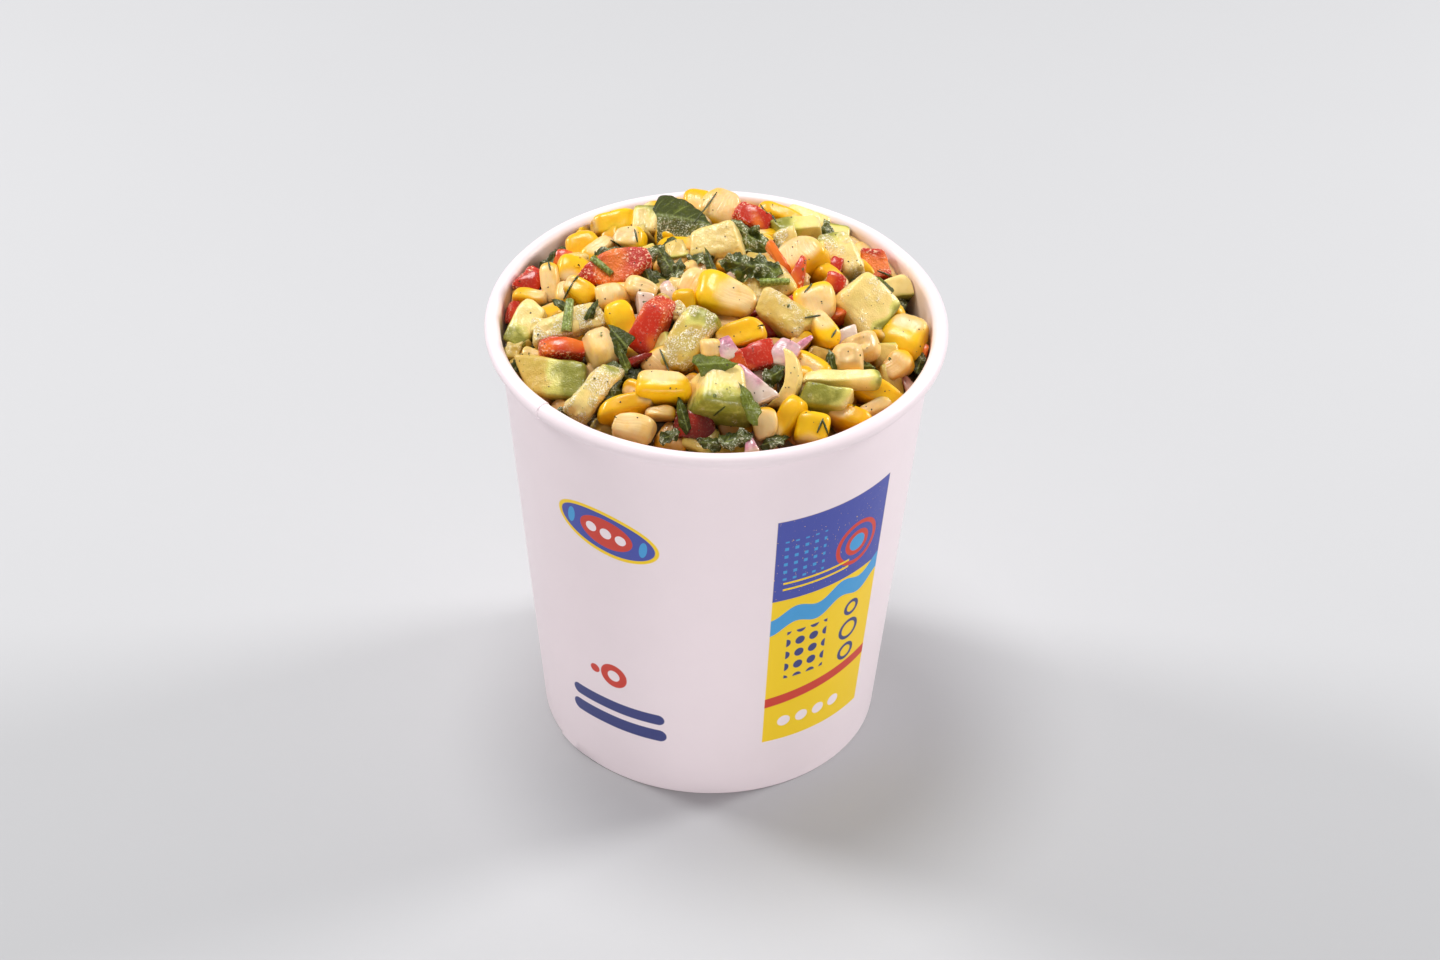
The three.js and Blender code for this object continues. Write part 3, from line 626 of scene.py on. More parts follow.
def tube(path, radii, sides, ridges=0.0):
    """A closed tube through the points of a path, with its radius at each point."""
    path, radii = np.asarray(path, float), np.asarray(radii, float)
    steps = len(path)
    heading = np.gradient(path, axis=0)
    heading /= np.linalg.norm(heading, axis=1)[:, None]
    rise = np.cross(heading, [0.31, 0.52, 0.79])
    rise /= np.linalg.norm(rise, axis=1)[:, None]
    side = np.cross(heading, rise)
    angle = np.linspace(0, 2 * math.pi, sides, endpoint=False)
    swell = 1 + ridges * np.cos(angle * sides / 2)
    spoke = rise[:, None] * np.cos(angle)[:, None] + side[:, None] * np.sin(angle)[:, None]
    rings = path[:, None] + spoke * (radii[:, None] * swell)[:, :, None]
    points = np.concatenate([rings.reshape(-1, 3), path[:1], path[-1:]])
    k, s = grid_indices(steps - 1, sides)
    n = (s + 1) % sides
    wall = np.stack([k * sides + s, k * sides + n, (k + 1) * sides + n, (k + 1) * sides + s], axis=1)
    first = np.arange(0, sides, 2)
    second, third = first + 1, (first + 2) % sides
    low, high = np.full(len(first), steps * sides), np.full(len(first), steps * sides + 1)
    last = (steps - 1) * sides
    start = np.stack([low, third, second, first], axis=1)
    end = np.stack([high, first + last, second + last, third + last], axis=1)
    return points, np.concatenate([wall, start, end])


def straight(length, bend, steps=9):
    """A path along X through the middle, with its ends a little lower."""
    t = np.linspace(-1, 1, steps)
    return np.stack([t * length / 2, np.zeros(steps), -bend * length * t * t], axis=1)


# How often each kind comes among the pieces under the shown ones, and how far out they lie
UNDER_KINDS = ["kernel"] * 10 + ["avocado"] * 4 + ["pepper"] + ["onion"] + ["leaf"] * 5
UNDER_REACH = HEAP_REACH - 2.5


def places_under(seed, spacing):
    """Places of the pieces under the shown ones, each with its kind, turn and lift.

    They lie in a shaken grid, deeper toward the back, and in one more row along the front wall,
    which the rim hides from the front.
    """
    random = np.random.default_rng(seed)
    places = []
    for row in np.arange(-HEAP_REACH, HEAP_REACH, spacing * 0.87):
        shift = random.uniform(0, spacing)
        for column in np.arange(-HEAP_REACH, HEAP_REACH, spacing):
            x = column + shift + random.uniform(-0.25, 0.25) * spacing
            y = row + random.uniform(-0.25, 0.25) * spacing
            kind = UNDER_KINDS[int(random.integers(len(UNDER_KINDS)))]
            sunk = random.uniform(3.2, 5.0) + 1.2 * smooth(10, 25, y)
            turn = random.uniform(0, 360)
            if math.hypot(x, y) < UNDER_REACH:
                places.append((kind, x, y, turn, -sunk))
    for angle in np.radians(np.arange(-170, -9, 9)):
        x, y = UNDER_REACH * math.cos(angle), UNDER_REACH * math.sin(angle) - 3.5
        kind = UNDER_KINDS[int(random.integers(len(UNDER_KINDS)))]
        places.append((kind, x, y, random.uniform(0, 360), -random.uniform(2.6, 4.2)))
    return places


class Helping:
    """Lays one kind of piece on the heap: the shown ones, and its share of those under them."""

    SHADE_AND_SOAK_DEPTH = 4.8  # depth under the heap's face from which a piece is fully darkened, as painted shade and partly as dressing soaked in

    def __init__(self, context, kind, seed):
        self.cup = CupShape(context.scene.paper_cup)
        self.random = np.random.default_rng(seed)
        self.batch = Batch()
        salad = context.scene.salad
        places = places_under(salad.seed, salad.spacing / MM)
        self.under = [place for name, *place in places if name == kind]

    def shaken(self, x, y):
        """A direction off the heap, a little to the front, and shaken."""
        facing = draped(x, y, 0.3) + self.random.normal(0, 0.25, 3)
        return facing / np.linalg.norm(facing)

    def put(self, pose, points, faces, **numbers):
        """Lay a shape on the heap. What lies deeper is painted darker and browner, as painted shade
        between the pieces and partly as dressing soaked in.
        """
        points = self.cup.keep_inside(points @ pose.axes + pose.middle)
        depth = heap_height(points[:, 0], points[:, 1]) - points[:, 2]
        # Painted shade: the deeper a point lies under the heap's face, the darker and browner it is
        # coloured
        self.batch.add(points, faces, soak=smooth(0.0, self.SHADE_AND_SOAK_DEPTH, depth), **numbers)

    def cut(self, pose, cube, shape, *values, **more):
        """Shape a piece from a cube and lay it on the heap."""
        points, numbers = shape(*pose.size, *values, self.random, cube, **more)
        self.put(pose, points, cube[1], **numbers)


class Field:
    """A number that varies over a surface, worked out by Math nodes."""

    def __init__(self, finish, socket):
        self.finish, self.socket = finish, socket

    def __add__(self, other):
        return self.finish.math("ADD", self, other)

    def __sub__(self, other):
        return self.finish.math("SUBTRACT", self, other)

    def __mul__(self, other):
        return self.finish.math("MULTIPLY", self, other)

    def __truediv__(self, other):
        return self.finish.math("DIVIDE", self, other)

    def size(self):
        return self.finish.math("ABSOLUTE", self)

    def most(self, other):
        return self.finish.math("MAXIMUM", self, other)

    def repeat(self, pitch):
        """Distance from the nearest whole multiple of the pitch."""
        return self.finish.math("PINGPONG", self, pitch / 2)

    def ramp(self, low, high):
        """0 at low and 1 at high, with a soft step between them."""
        node = self.finish.add("ShaderNodeMapRange", interpolation_type="SMOOTHSTEP")
        self.finish.feed(node.inputs[0], self)
        node.inputs[1].default_value = low
        node.inputs[2].default_value = high
        return Field(self.finish, node.outputs[0])

    def under(self, limit, soft=0.12):
        """1 where the number is under the limit."""
        return self.ramp(limit + soft, limit - soft)


class Finish:
    """A material in the making, with short words for its nodes. Sizes are in millimetres."""

    def __init__(self, name, **values):
        self.material = bpy.data.materials.new(name)
        self.material.use_nodes = True
        self.tree = self.material.node_tree
        self.shader = self.tree.nodes["Principled BSDF"]
        for key, value in values.items():
            self.shader.inputs[key.replace("_", " ")].default_value = value
        self.bumped = None

    def add(self, kind, **settings):
        node = self.tree.nodes.new(kind)
        for key, value in settings.items():
            setattr(node, key, value)
        return node

    def feed(self, socket, value):
        if isinstance(value, Field):
            self.tree.links.new(value.socket, socket)
        elif isinstance(value, bpy.types.NodeSocket):
            self.tree.links.new(value, socket)
        elif socket.type == "RGBA":
            socket.default_value = (*value[:3], 1.0)
        else:
            socket.default_value = value

    def math(self, operation, *values):
        node = self.add("ShaderNodeMath", operation=operation)
        for socket, value in zip(node.inputs, values):
            self.feed(socket, value)
        return Field(self, node.outputs[0])

    def mix(self, share, first, second, blend="MIX"):
        node = self.add("ShaderNodeMix", data_type="RGBA", blend_type=blend)
        sockets = (node.inputs[0], node.inputs[6], node.inputs[7])
        for socket, value in zip(sockets, (share, first, second)):
            self.feed(socket, value)
        return node.outputs[2]

    def number(self, name):
        """A number that the mesh holds at each of its points."""
        return Field(self, self.add("ShaderNodeAttribute", attribute_name=name).outputs["Fac"])

    def place(self):
        """X, Y and Z on the object, in millimetres."""
        split = self.add("ShaderNodeSeparateXYZ")
        self.tree.links.new(self.add("ShaderNodeTexCoord").outputs["Object"], split.inputs[0])
        return [Field(self, socket) * (1 / MM) for socket in split.outputs]

    def noise(self, size, detail=2.0, seed=0.0, roughness=0.5):
        """Cloudy pattern from 0 to 1 with patches of about the given size."""
        node = self.add("ShaderNodeTexNoise", noise_dimensions="4D")
        self.tree.links.new(self.add("ShaderNodeTexCoord").outputs["Object"], node.inputs["Vector"])
        node.inputs["W"].default_value = seed
        node.inputs["Scale"].default_value = 1 / (size * MM)
        node.inputs["Detail"].default_value = detail
        node.inputs["Roughness"].default_value = roughness
        return Field(self, node.outputs["Fac"])

    def specks(self, spacing, radius, share):
        """1 in round specks of the given radius, in that share of the cells."""
        node = self.add("ShaderNodeTexVoronoi")
        self.tree.links.new(self.add("ShaderNodeTexCoord").outputs["Object"], node.inputs["Vector"])
        node.inputs["Scale"].default_value = 1 / (spacing * MM)
        split = self.add("ShaderNodeSeparateColor")
        self.tree.links.new(node.outputs["Color"], split.inputs[0])
        chosen = Field(self, split.outputs[0]).under(share, 0.01)
        wide = Field(self, split.outputs[1]) * (radius / spacing)
        near = (Field(self, node.outputs["Distance"]) - wide).under(0.0, 0.04)
        return near * chosen

    def bump(self, height, depth):
        """Relief of the given depth, on top of any relief added before."""
        node = self.add("ShaderNodeBump")
        node.inputs["Strength"].default_value = 1.0
        node.inputs["Distance"].default_value = depth * MM
        self.feed(node.inputs["Height"], height)
        if self.bumped is not None:
            self.tree.links.new(self.bumped, node.inputs["Normal"])
        self.bumped = node.outputs["Normal"]

    def shaded_and_soaked(self, colour, deep=(0.42, 0.22, 0.06)):
        """The colour, darker and browner where the piece lies deeper: painted shade between the
        pieces, partly dressing soaked in.
        """
        return self.mix(self.number("soak") * 0.95, colour, self.mix(1.0, colour, deep, "MULTIPLY"))

    def finish(self, colour, roughness):
        """The material, with its colour, roughness and relief in place."""
        self.feed(self.shader.inputs["Base Color"], colour)
        self.feed(self.shader.inputs["Roughness"], roughness)
        self.tree.links.new(self.bumped, self.shader.inputs["Normal"])
        if self.shader.inputs["Coat Weight"].default_value > 0:
            self.tree.links.new(self.bumped, self.shader.inputs["Coat Normal"])
        return self.material


# Print on the outside of the cup. Across is in degrees round the axis, as plan angles. Height and
# all sizes are in millimetres.
PANEL_ACROSS = (-72.0, -33.0)
PANEL_UP = (15.0, 80.5)
PANEL_FIELD = 57.5  # where its yellow field ends and its blue one starts
PANEL_MIDDLE = (PANEL_ACROSS[0] + PANEL_ACROSS[1]) / 2
TARGET = (PANEL_MIDDLE + 8, 66.5)
TARGET_RINGS = ((6.0, 4.9, "red"), (3.4, 0.0, "red"), (2.2, 0.0, "light"))
RINGS_ACROSS = PANEL_MIDDLE + 9.5
RINGS = ((34.0, 2.4), (40.6, 2.9), (47.0, 2.2))  # height and radius
RING_LINE = 0.9
DOT_ROW = 20.4
BADGE_MIDDLE = (-120.5, 73.0)
BADGE_HALF = (12.4, 6.0)
BADGE_TILT = math.radians(-9)
MARK_MIDDLE = (-121.0, 31.0)
MARK_BARS = ((21.6, 11.6, 1.5), (16.8, 11.9, 1.7))  # height, half length and half thickness


class Print:
    """A plain print of fields, dots, rings and bars, laid over the paper's colour."""

    def __init__(self, finish, inks, paper, cup):
        self.finish, self.inks, self.colour, self.cup = finish, inks, paper, cup
        x, y, self.up = finish.place()
        self.around = finish.math("ARCTAN2", y, x) * math.degrees(1)
        self.outside = finish.number("outside")

    def arc(self, height):
        """Length on the wall of one degree round it."""
        return math.radians(1) * float(self.cup.wall(height))

    def lay(self, mask, ink):
        self.colour = self.finish.mix(mask * self.outside, self.colour, self.inks[ink])

    def away(self, a, b):
        return self.finish.math("SQRT", a * a + b * b)

    def disc(self, across, height, radius, hole=0.0):
        """A dot, or a ring where it has a hole, at a place on the wall."""
        away = self.away((self.around - across) * self.arc(height), self.up - height)
        mask = away.under(radius)
        if hole:
            mask = mask - away.under(hole)
        return mask

    def panel(self):
        """Blue over yellow, with bands, dots and rings, from the bottom up."""
        left, right = PANEL_ACROSS
        low, high = PANEL_UP
        up = self.up
        across = (self.around - PANEL_MIDDLE) * self.arc(50.0)
        half = (right - left) / 2 * self.arc(50.0)
        panel = across.size().under(half) * (up - (low + high) / 2).size().under((high - low) / 2)
        worn = self.finish.noise(0.5, 3, 4.0).ramp(0.28, 0.34) * 0.9 + 0.1
        self.lay(panel, "yellow")
        wave = self.finish.math("SINE", across * 0.55) * 1.1
        self.lay(panel * worn * up.ramp(PANEL_FIELD - 0.1, PANEL_FIELD + 0.1), "blue")
        self.lay(panel * (up - across * 0.16 - wave - 53.0).size().under(2.3), "light")
        self.lay(panel * (up - across * 0.12 - 28.6).size().under(1.35), "red")
        dot = self.away(across.repeat(3.4), (up - 40.6).repeat(3.6)).under(1.15)
        region = (across + 5.1).size().under(5.0) * (up - 40.6).size().under(7.0)
        self.lay(panel * dot * region, "ink")
        for height, radius in RINGS:
            self.lay(self.disc(RINGS_ACROSS, height, radius, radius - RING_LINE), "ink")
        for step in range(4):
            self.lay(self.disc(left + 7 + step * 6.4, DOT_ROW, 1.5), "white")
        for radius, hole, ink in TARGET_RINGS:
            self.lay(self.disc(*TARGET, radius, hole), ink)
        fine = (across + 7.4).repeat(2.2).most((up - 68.0).repeat(2.2)).under(0.42, 0.06)
        region = (across + 8.0).size().under(5.2) * (up - 69.0).size().under(5.6)
        self.lay(panel * fine * region, "light")
        for height in (60.6, 62.4):
            line = (up - height).size().under(0.28, 0.06) * (across + 4.0).size().under(8.0)
            self.lay(panel * line, "yellow")

    def badge(self):
        """A tilted oval with dots along its middle."""
        a = (self.around - BADGE_MIDDLE[0]) * self.arc(BADGE_MIDDLE[1])
        b = self.up - BADGE_MIDDLE[1]
        p = a * math.cos(BADGE_TILT) + b * math.sin(BADGE_TILT)
        q = b * math.cos(BADGE_TILT) - a * math.sin(BADGE_TILT)

        def oval(width, height, shift=0.0):
            u, v = (p - shift) / width, q / height
            return (u * u + v * v).under(1.0, 0.03)

        self.lay(oval(*BADGE_HALF), "yellow")
        self.lay(oval(BADGE_HALF[0] - 0.9, BADGE_HALF[1] - 0.9), "blue")
        self.lay(oval(6.4, 3.9), "red")
        self.lay(oval(1.4, 1.4), "white")
        for side in (-1, 1):
            self.lay(oval(1.3, 1.3, side * 3.6), "white")
            self.lay(oval(0.9, 2.2, side * 8.8), "light")

    def mark(self):
        """A ring and a dot over two bars with round ends."""
        across, height = MARK_MIDDLE
        self.lay(self.disc(across, height, 3.3, 1.5), "red")
        self.lay(self.disc(across - 7, height, 1.2), "red")
        for height, half, thick in MARK_BARS:
            a = (self.around - across) * self.arc(height)
            end = (a.size() - half + thick).most(0.0)
            self.lay(self.away(end, self.up - height).under(thick), "ink")


def paper_finish(settings, cup):
    """White coated board: pinkish white, faintly mottled, stained inside by the dressing."""
    f = Finish("coated paper board", Roughness=0.4, IOR=1.45)
    cloud = f.noise(9.0, 2, 1.0)
    paper = f.mix(cloud, settings.paper_colour, [c * 0.965 for c in settings.paper_colour])
    inks = {
        "blue": settings.print_blue, "yellow": settings.print_yellow, "red": settings.print_red,
        "light": settings.print_light_blue, "ink": settings.print_ink, "white": settings.paper_colour,
    }
    plain_print = Print(f, inks, paper, cup)
    plain_print.panel()
    plain_print.badge()
    plain_print.mark()
    oil = f.number("inside") * (f.noise(7.0, 3, 2.0) * 9.0 + 100.0 - f.place()[2]).ramp(0.5, 8.0)
    colour = f.mix(oil * 0.85, plain_print.colour, settings.stain_colour)
    f.bump(f.noise(0.35, 3, 3.0), 0.012)
    f.bump(f.noise(4.0, 2, 5.0), 0.05)
    return f.finish(colour, f.noise(1.2, 2, 6.0) * 0.12 + 0.36)


def base_finish(settings):
    """The same board, uncoated, on the disc that closes the cup."""
    f = Finish("plain paper board", IOR=1.45)
    pale, dark = settings.paper_colour, [c * 0.9 for c in settings.paper_colour]
    f.bump(f.noise(0.3, 4, 1.0), 0.03)
    return f.finish(f.mix(f.noise(2.5, 4, 2.0), dark, pale), f.noise(0.8, 2, 3.0) * 0.2 + 0.55)


def wet(name, coat, scatter, reach=1.6, tint=(1.0, 0.6, 0.22), gloss=0.08):
    """Start of a moist food finish: light goes a little way in, and dressing shines on top."""
    return Finish(
        name, Subsurface_Weight=scatter, Subsurface_Scale=reach * MM, Subsurface_Radius=tint,
        Coat_Weight=coat, Coat_Roughness=gloss, IOR=1.42, Specular_IOR_Level=0.35,
    )


def kernel_finish(salad):
    """Sweet corn: yellow crown, cream toward the tip, tan ring round the cut."""
    cut_tan, dirt_brown = (0.40, 0.22, 0.07), (0.12, 0.06, 0.015)
    f = wet("sweet corn", 0.4, 0.3, gloss=0.16)
    tone = f.number("tone")
    deep = [salad.kernel_yellow[0] * 0.94, salad.kernel_yellow[1] * 0.86, salad.kernel_yellow[2]]
    yellow = f.mix((tone * 0.4 + f.noise(4.0, 2, 1.0)).ramp(0.25, 0.85), deep, salad.kernel_yellow)
    warm = [salad.kernel_cream[0] * 0.98, salad.kernel_cream[1] * 0.84, salad.kernel_cream[2] * 0.5]
    cream = f.mix(f.noise(2.6, 3, 2.0).ramp(0.25, 0.6), warm, salad.kernel_cream)
    colour = f.mix(f.number("cream"), yellow, cream)
    colour = f.mix(f.number("ring") * 0.45, colour, cut_tan)
    colour = f.mix(f.specks(2.4, 0.16, 0.3) * 0.7, colour, dirt_brown)
    fibre = f.add("ShaderNodeTexNoise", noise_dimensions="1D")
    f.feed(fibre.inputs["W"], f.number("lines"))
    fibre.inputs["Scale"].default_value = 1.6
    f.bump(Field(f, fibre.outputs["Fac"]) * f.number("cream"), 0.12)
    f.bump(f.noise(1.4, 3, 3.0), 0.08)
    f.bump(f.noise(0.35, 2, 4.0), 0.015)
    return f.finish(f.shaded_and_soaked(colour), f.noise(1.8, 2, 5.0) * 0.2 + 0.28)


def avocado_finish(salad):
    """Avocado: creamy yellow to green toward the skin side, grainy and frothy where mashed, with
    painted glints as pale specks on the froth.
    """
    foam_shade, foam_and_glint, dirt_brown = (0.56, 0.43, 0.13), (1.0, 0.93, 0.74), (0.06, 0.045, 0.015)
    f = wet("avocado", 0.8, 0.22, 1.4, (1.0, 0.8, 0.3), gloss=0.14)
    light = salad.avocado_light
    # Tan: browned flesh, and on some pieces at the front and left a painted shade
    tan = (f.number("tan") + (f.noise(3.2, 3, 1.0) - 0.5) * 1.4).ramp(0.0, 1.0)
    flesh = f.mix(tan, salad.avocado_flesh, salad.avocado_tan_and_shade)
    flesh = f.mix(f.noise(5.0, 2, 8.0).ramp(0.5, 0.75) * 0.4, flesh, light)
    green = f.mix(f.noise(1.5, 4, 2.0, 0.65).ramp(0.44, 0.95), salad.avocado_green, light)
    share = f.number("green") + (f.noise(1.6, 3, 3.0) - 0.5) * 0.4
    colour = f.mix(share.ramp(0.35, 0.9), f.mix(share.ramp(0.05, 0.4), flesh, light), green)
    grain = f.noise(0.3, 2, 4.0, 0.6)
    foam = (f.number("froth") * 1.3 + f.noise(3.0, 2, 9.0) * 2.2 - 1.6).ramp(0.0, 0.6)
    colour = f.mix(foam * 0.5, colour, foam_shade)
    # Pale specks on the froth: partly froth, partly painted glints of the wet surface
    colour = f.mix(foam * grain.ramp(0.51, 0.57) * 0.9, colour, foam_and_glint)
    colour = f.mix(f.specks(1.3, 0.16, 0.4) * 0.75, colour, dirt_brown)
    f.bump(f.noise(1.8, 3, 5.0), 0.15)
    f.bump(grain * (foam + 0.45), 0.2)
    return f.finish(f.shaded_and_soaked(colour, (0.52, 0.46, 0.2)), grain * 0.3 + 0.2)


def pepper_finish(salad):
    """Red pepper: glossy skin, paler wet flesh, and painted glints as fine bright specks on the flesh.
    """
    dark_red, painted_glint = (0.16, 0.012, 0.002), (0.98, 0.60, 0.40)
    f = wet("red pepper", 0.45, 0.2, 1.2, (1.0, 0.25, 0.1), gloss=0.2)
    skin, orange = f.number("skin"), f.number("orange")
    red = f.mix(f.noise(3.5, 2, 1.0), [c * 0.72 for c in salad.pepper_red], salad.pepper_red)
    colour = f.mix(orange.ramp(0.15, 0.95), red, salad.pepper_orange)
    # Below 0 the colour goes to dark red: partly the pepper's deep red, partly painted shade
    colour = f.mix(orange.ramp(-0.1, -1.0) * 0.75, colour, dark_red)
    grain = f.noise(0.5, 2, 2.0, 0.6)
    flesh = f.math("SUBTRACT", 1.0, skin)
    wetter = (f.noise(3.0, 2, 5.0) - orange * 0.3).ramp(0.2, 0.45)
    raised = f.math("SUBTRACT", 1.0, f.number("soak"))
    # Painted glints: bright specks on the wet flesh, kept off what lies in the painted shade
    painted_glints = grain.ramp(0.54, 0.62) * wetter * (flesh * 0.85 + 0.12) * raised
    colour = f.mix(painted_glints, colour, painted_glint)
    f.bump(grain * (flesh + 0.12), 0.3)
    f.bump(f.noise(2.2, 2, 3.0), 0.14)
    return f.finish(f.shaded_and_soaked(colour), flesh * 0.2 + 0.24)


def onion_finish(salad):
    """Red onion: milky white with fine lines, purple at the edge."""
    pale_line = (0.95, 0.85, 0.8)
    f = wet("red onion", 0.6, 0.35, 1.8, (0.9, 0.7, 0.7))
    cloud = f.noise(2.4, 3, 1.0)
    white = f.mix(cloud, [c * 0.82 for c in salad.onion_white], salad.onion_white)
    streak = f.noise(0.9, 3, 2.0).ramp(0.35, 0.65)
    purple = f.mix(streak, salad.onion_purple, [min(1, c * 1.6) for c in salad.onion_purple])
    colour = f.mix(f.number("purple"), white, purple)
    colour = f.mix(f.number("layer").ramp(0.8, 0.98) * 0.25, colour, pale_line)
    f.bump(f.noise(0.8, 3, 3.0), 0.10)
    return f.finish(f.shaded_and_soaked(colour), f.noise(1.4, 2, 4.0) * 0.2 + 0.14)


def leaf_finish(salad):
    """Herb leaves: dark wet green, paler veins, greyish on the back, with painted light: lighter
    crests, a painted sheen and painted glints as bright specks.
    """
    fresh_green, back_green = (0.14, 0.165, 0.012), (0.16, 0.19, 0.06)
    sheen, painted_glint, pale_vein = (0.34, 0.35, 0.20), (0.74, 0.75, 0.55), (0.34, 0.39, 0.09)
    f = Finish("herb leaf", Coat_Weight=0.35, Coat_Roughness=0.2, IOR=1.4, Specular_IOR_Level=0.2)
    share = f.math("SUBTRACT", 1.0, f.number("dark")) + (f.noise(1.2, 3, 1.0) - 0.5) * 1.3
    crest = f.number("crest")
    # Painted light: the crests are lighter, and a grey painted sheen and bright painted glints lie
    # where they are lit
    colour = f.mix((share + crest * 0.5 - 0.3).ramp(0.0, 0.9), salad.leaf_green, fresh_green)
    grain = f.noise(0.4, 2, 2.0, 0.6)
    lit = (crest * 0.7 + f.noise(2.6, 2, 6.0)).ramp(0.65, 1.1)
    colour = f.mix(lit * 0.25, colour, sheen)
    colour = f.mix(lit * grain.ramp(0.52, 0.59) * 0.9, colour, painted_glint)
    colour = f.mix(f.number("back") * 0.3, colour, back_green)
    veins = f.mix(crest, pale_vein, [c * 0.7 for c in salad.leaf_green])
    colour = f.mix(f.number("vein") * 0.6, colour, veins)
    f.bump(grain, 0.2)
    f.bump(f.noise(1.1, 2, 3.0), 0.45)
    return f.finish(f.shaded_and_soaked(colour, (0.4, 0.35, 0.2)), f.noise(1.0, 2, 4.0) * 0.3 + 0.3)


def stem_finish(salad):
    """Cut stems and threads: light green with fine pale lines along them."""
    pale_green = (0.42, 0.52, 0.12)
    f = Finish("herb stem", Coat_Weight=0.4, Coat_Roughness=0.15, IOR=1.42)
    pale = f.number("pale")
    line = f.noise(0.5, 2, 1.0).ramp(0.4, 0.65)
    fresh = f.mix(line, [c * 3.6 for c in salad.leaf_green], pale_green)
    colour = f.mix(pale, [c * 0.6 for c in salad.leaf_green], fresh)
    f.bump(line, 0.06)
    return f.finish(colour, f.noise(0.9, 2, 2.0) * 0.2 + 0.25)


def mash_finish(salad):
    """The dressed mash between the pieces, kept dark as painted shade in the gaps: amber and olive
    with green and brown bits.
    """
    f = wet("dressing and mash", 0.6, 0.15, 1.2, (1.0, 0.6, 0.2))
    cloud = f.noise(3.0, 4, 1.0, 0.6)
    colour = f.mix(cloud.ramp(0.35, 0.65), salad.mash_and_shade_colour, [c * 2.2 for c in salad.mash_and_shade_colour])
    herb = f.noise(1.6, 3, 2.0).ramp(0.58, 0.64)
    colour = f.mix(herb * 0.8, colour, salad.leaf_green)
    f.bump(f.noise(1.2, 4, 3.0, 0.65), 0.4)
    return f.finish(colour, f.noise(1.0, 2, 4.0) * 0.3 + 0.2)


def speck_finish():
    """Ground pepper: dark brown to tan."""
    dark, tan = (0.012, 0.008, 0.004), (0.10, 0.05, 0.02)
    f = Finish("ground pepper", Coat_Weight=0.3, Coat_Roughness=0.2)
    f.bump(f.noise(0.2, 2, 1.0), 0.05)
    colour = f.mix(f.noise(0.6, 2, 2.0), dark, tan)
    return f.finish(colour, f.noise(0.3, 1, 3.0) * 0.3 + 0.4)


def floor_finish(pale):
    """A plain pale studio floor with the faintest grain."""
    f = Finish("pale floor", Specular_IOR_Level=0.2)
    f.bump(f.noise(1.5, 3, 1.0), 0.02)
    colour = f.mix(f.noise(60.0, 2, 2.0), [c * 0.985 for c in pale], pale)
    return f.finish(colour, f.noise(20.0, 2, 3.0) * 0.1 + 0.6)


def length(name, description, default):
    """A setting in metres whose default is given in millimetres."""
    return FloatProperty(
        name=name, description=description, default=default * MM, unit="LENGTH", min=0.0
    )


def colour(name, description, default):
    """A colour setting."""
    return FloatVectorProperty(
        name=name, description=description, default=default, subtype="COLOR", min=0.0, max=1.0
    )


def power(name, description, default):
    """A lamp's power in watts."""
    return FloatProperty(name=name, description=description, default=default, unit="POWER", min=0.0)


def amount(name, description, default, least=0):
    """A whole number of things."""
    return IntProperty(name=name, description=description, default=default, min=least)


class CupSettings(bpy.types.PropertyGroup):
    """Sizes and colours of the paper cup."""

    foot_radius: length("Foot Radius", "Outer radius of the cup where it stands", 36.9)
    board_thickness: length("Board", "Thickness of the paper board", 0.45)
    roll_radius: length("Roll", "Radius of the rolled rim's round section", 1.7)
    hem_height: length("Hem Height", "Height of the folded lower edge", 7.0)
    hem_thickness: length("Hem Thickness", "Thickness of the folded lower edge", 1.5)
    sides: amount("Sides", "Faces round the cup", 288, 24)
    paper_colour: colour("Paper", "Colour of the board", (0.90, 0.775, 0.805))
    stain_colour: colour("Stain", "Oil stain on the inside above the salad", (0.86, 0.62, 0.42))
    print_blue: colour("Blue", "Blue fields of the print", (0.061, 0.080, 0.376))
    print_yellow: colour("Yellow", "Yellow fields of the print", (0.93, 0.62, 0.012))
    print_red: colour("Red", "Red bars and dots of the print", (0.62, 0.05, 0.03))
    print_light_blue: colour("Light Blue", "Light blue bands of the print", (0.06, 0.33, 0.66))
    print_ink: colour("Ink", "Dark bars and dots of the print", (0.045, 0.055, 0.20))


class SaladSettings(bpy.types.PropertyGroup):
    """Colours of the salad, and how its small things are strewn."""

    kernel_yellow: colour("Kernel Yellow", "Crown of the corn kernels", (0.95, 0.55, 0.004))
    kernel_cream: colour("Kernel Cream", "Tip of the corn kernels", (0.95, 0.67, 0.31))
    avocado_flesh: colour("Avocado Flesh", "Inner avocado", (0.96, 0.72, 0.26))
    avocado_tan_and_shade: colour("Avocado Tan", "Inner avocado where it has darkened", (0.66, 0.44, 0.08))
    avocado_light: colour("Avocado Light Green", "Avocado between flesh and skin", (0.76, 0.68, 0.16))
    avocado_green: colour("Avocado Green", "Avocado next to its skin", (0.28, 0.27, 0.03))
    pepper_red: colour("Pepper Red", "Skin of the red pepper", (0.66, 0.034, 0.010))
    pepper_orange: colour("Pepper Orange", "Orange patches of the pepper", (0.88, 0.20, 0.02))
    onion_white: colour("Onion White", "Inner red onion", (0.82, 0.62, 0.47))
    onion_purple: colour("Onion Purple", "Outer red onion", (0.46, 0.19, 0.25))
    leaf_green: colour("Leaf Green", "Dark green of the herbs", (0.048, 0.058, 0.006))
    # The mash is dark partly for its own colour and partly as painted shade in the gaps
    mash_and_shade_colour: colour("Mash", "Dressed mash between the pieces", (0.06, 0.034, 0.008))
    spacing: length("Spacing", "Distance between the pieces under the shown ones", 6.6)
    flakes: amount("Herb Flakes", "Chopped herb bits on top", 110)
    specks: amount("Pepper Specks", "Grains of pepper on top", 240)
    seed: amount("Seed", "Draw of the places under the shown pieces", 20611)


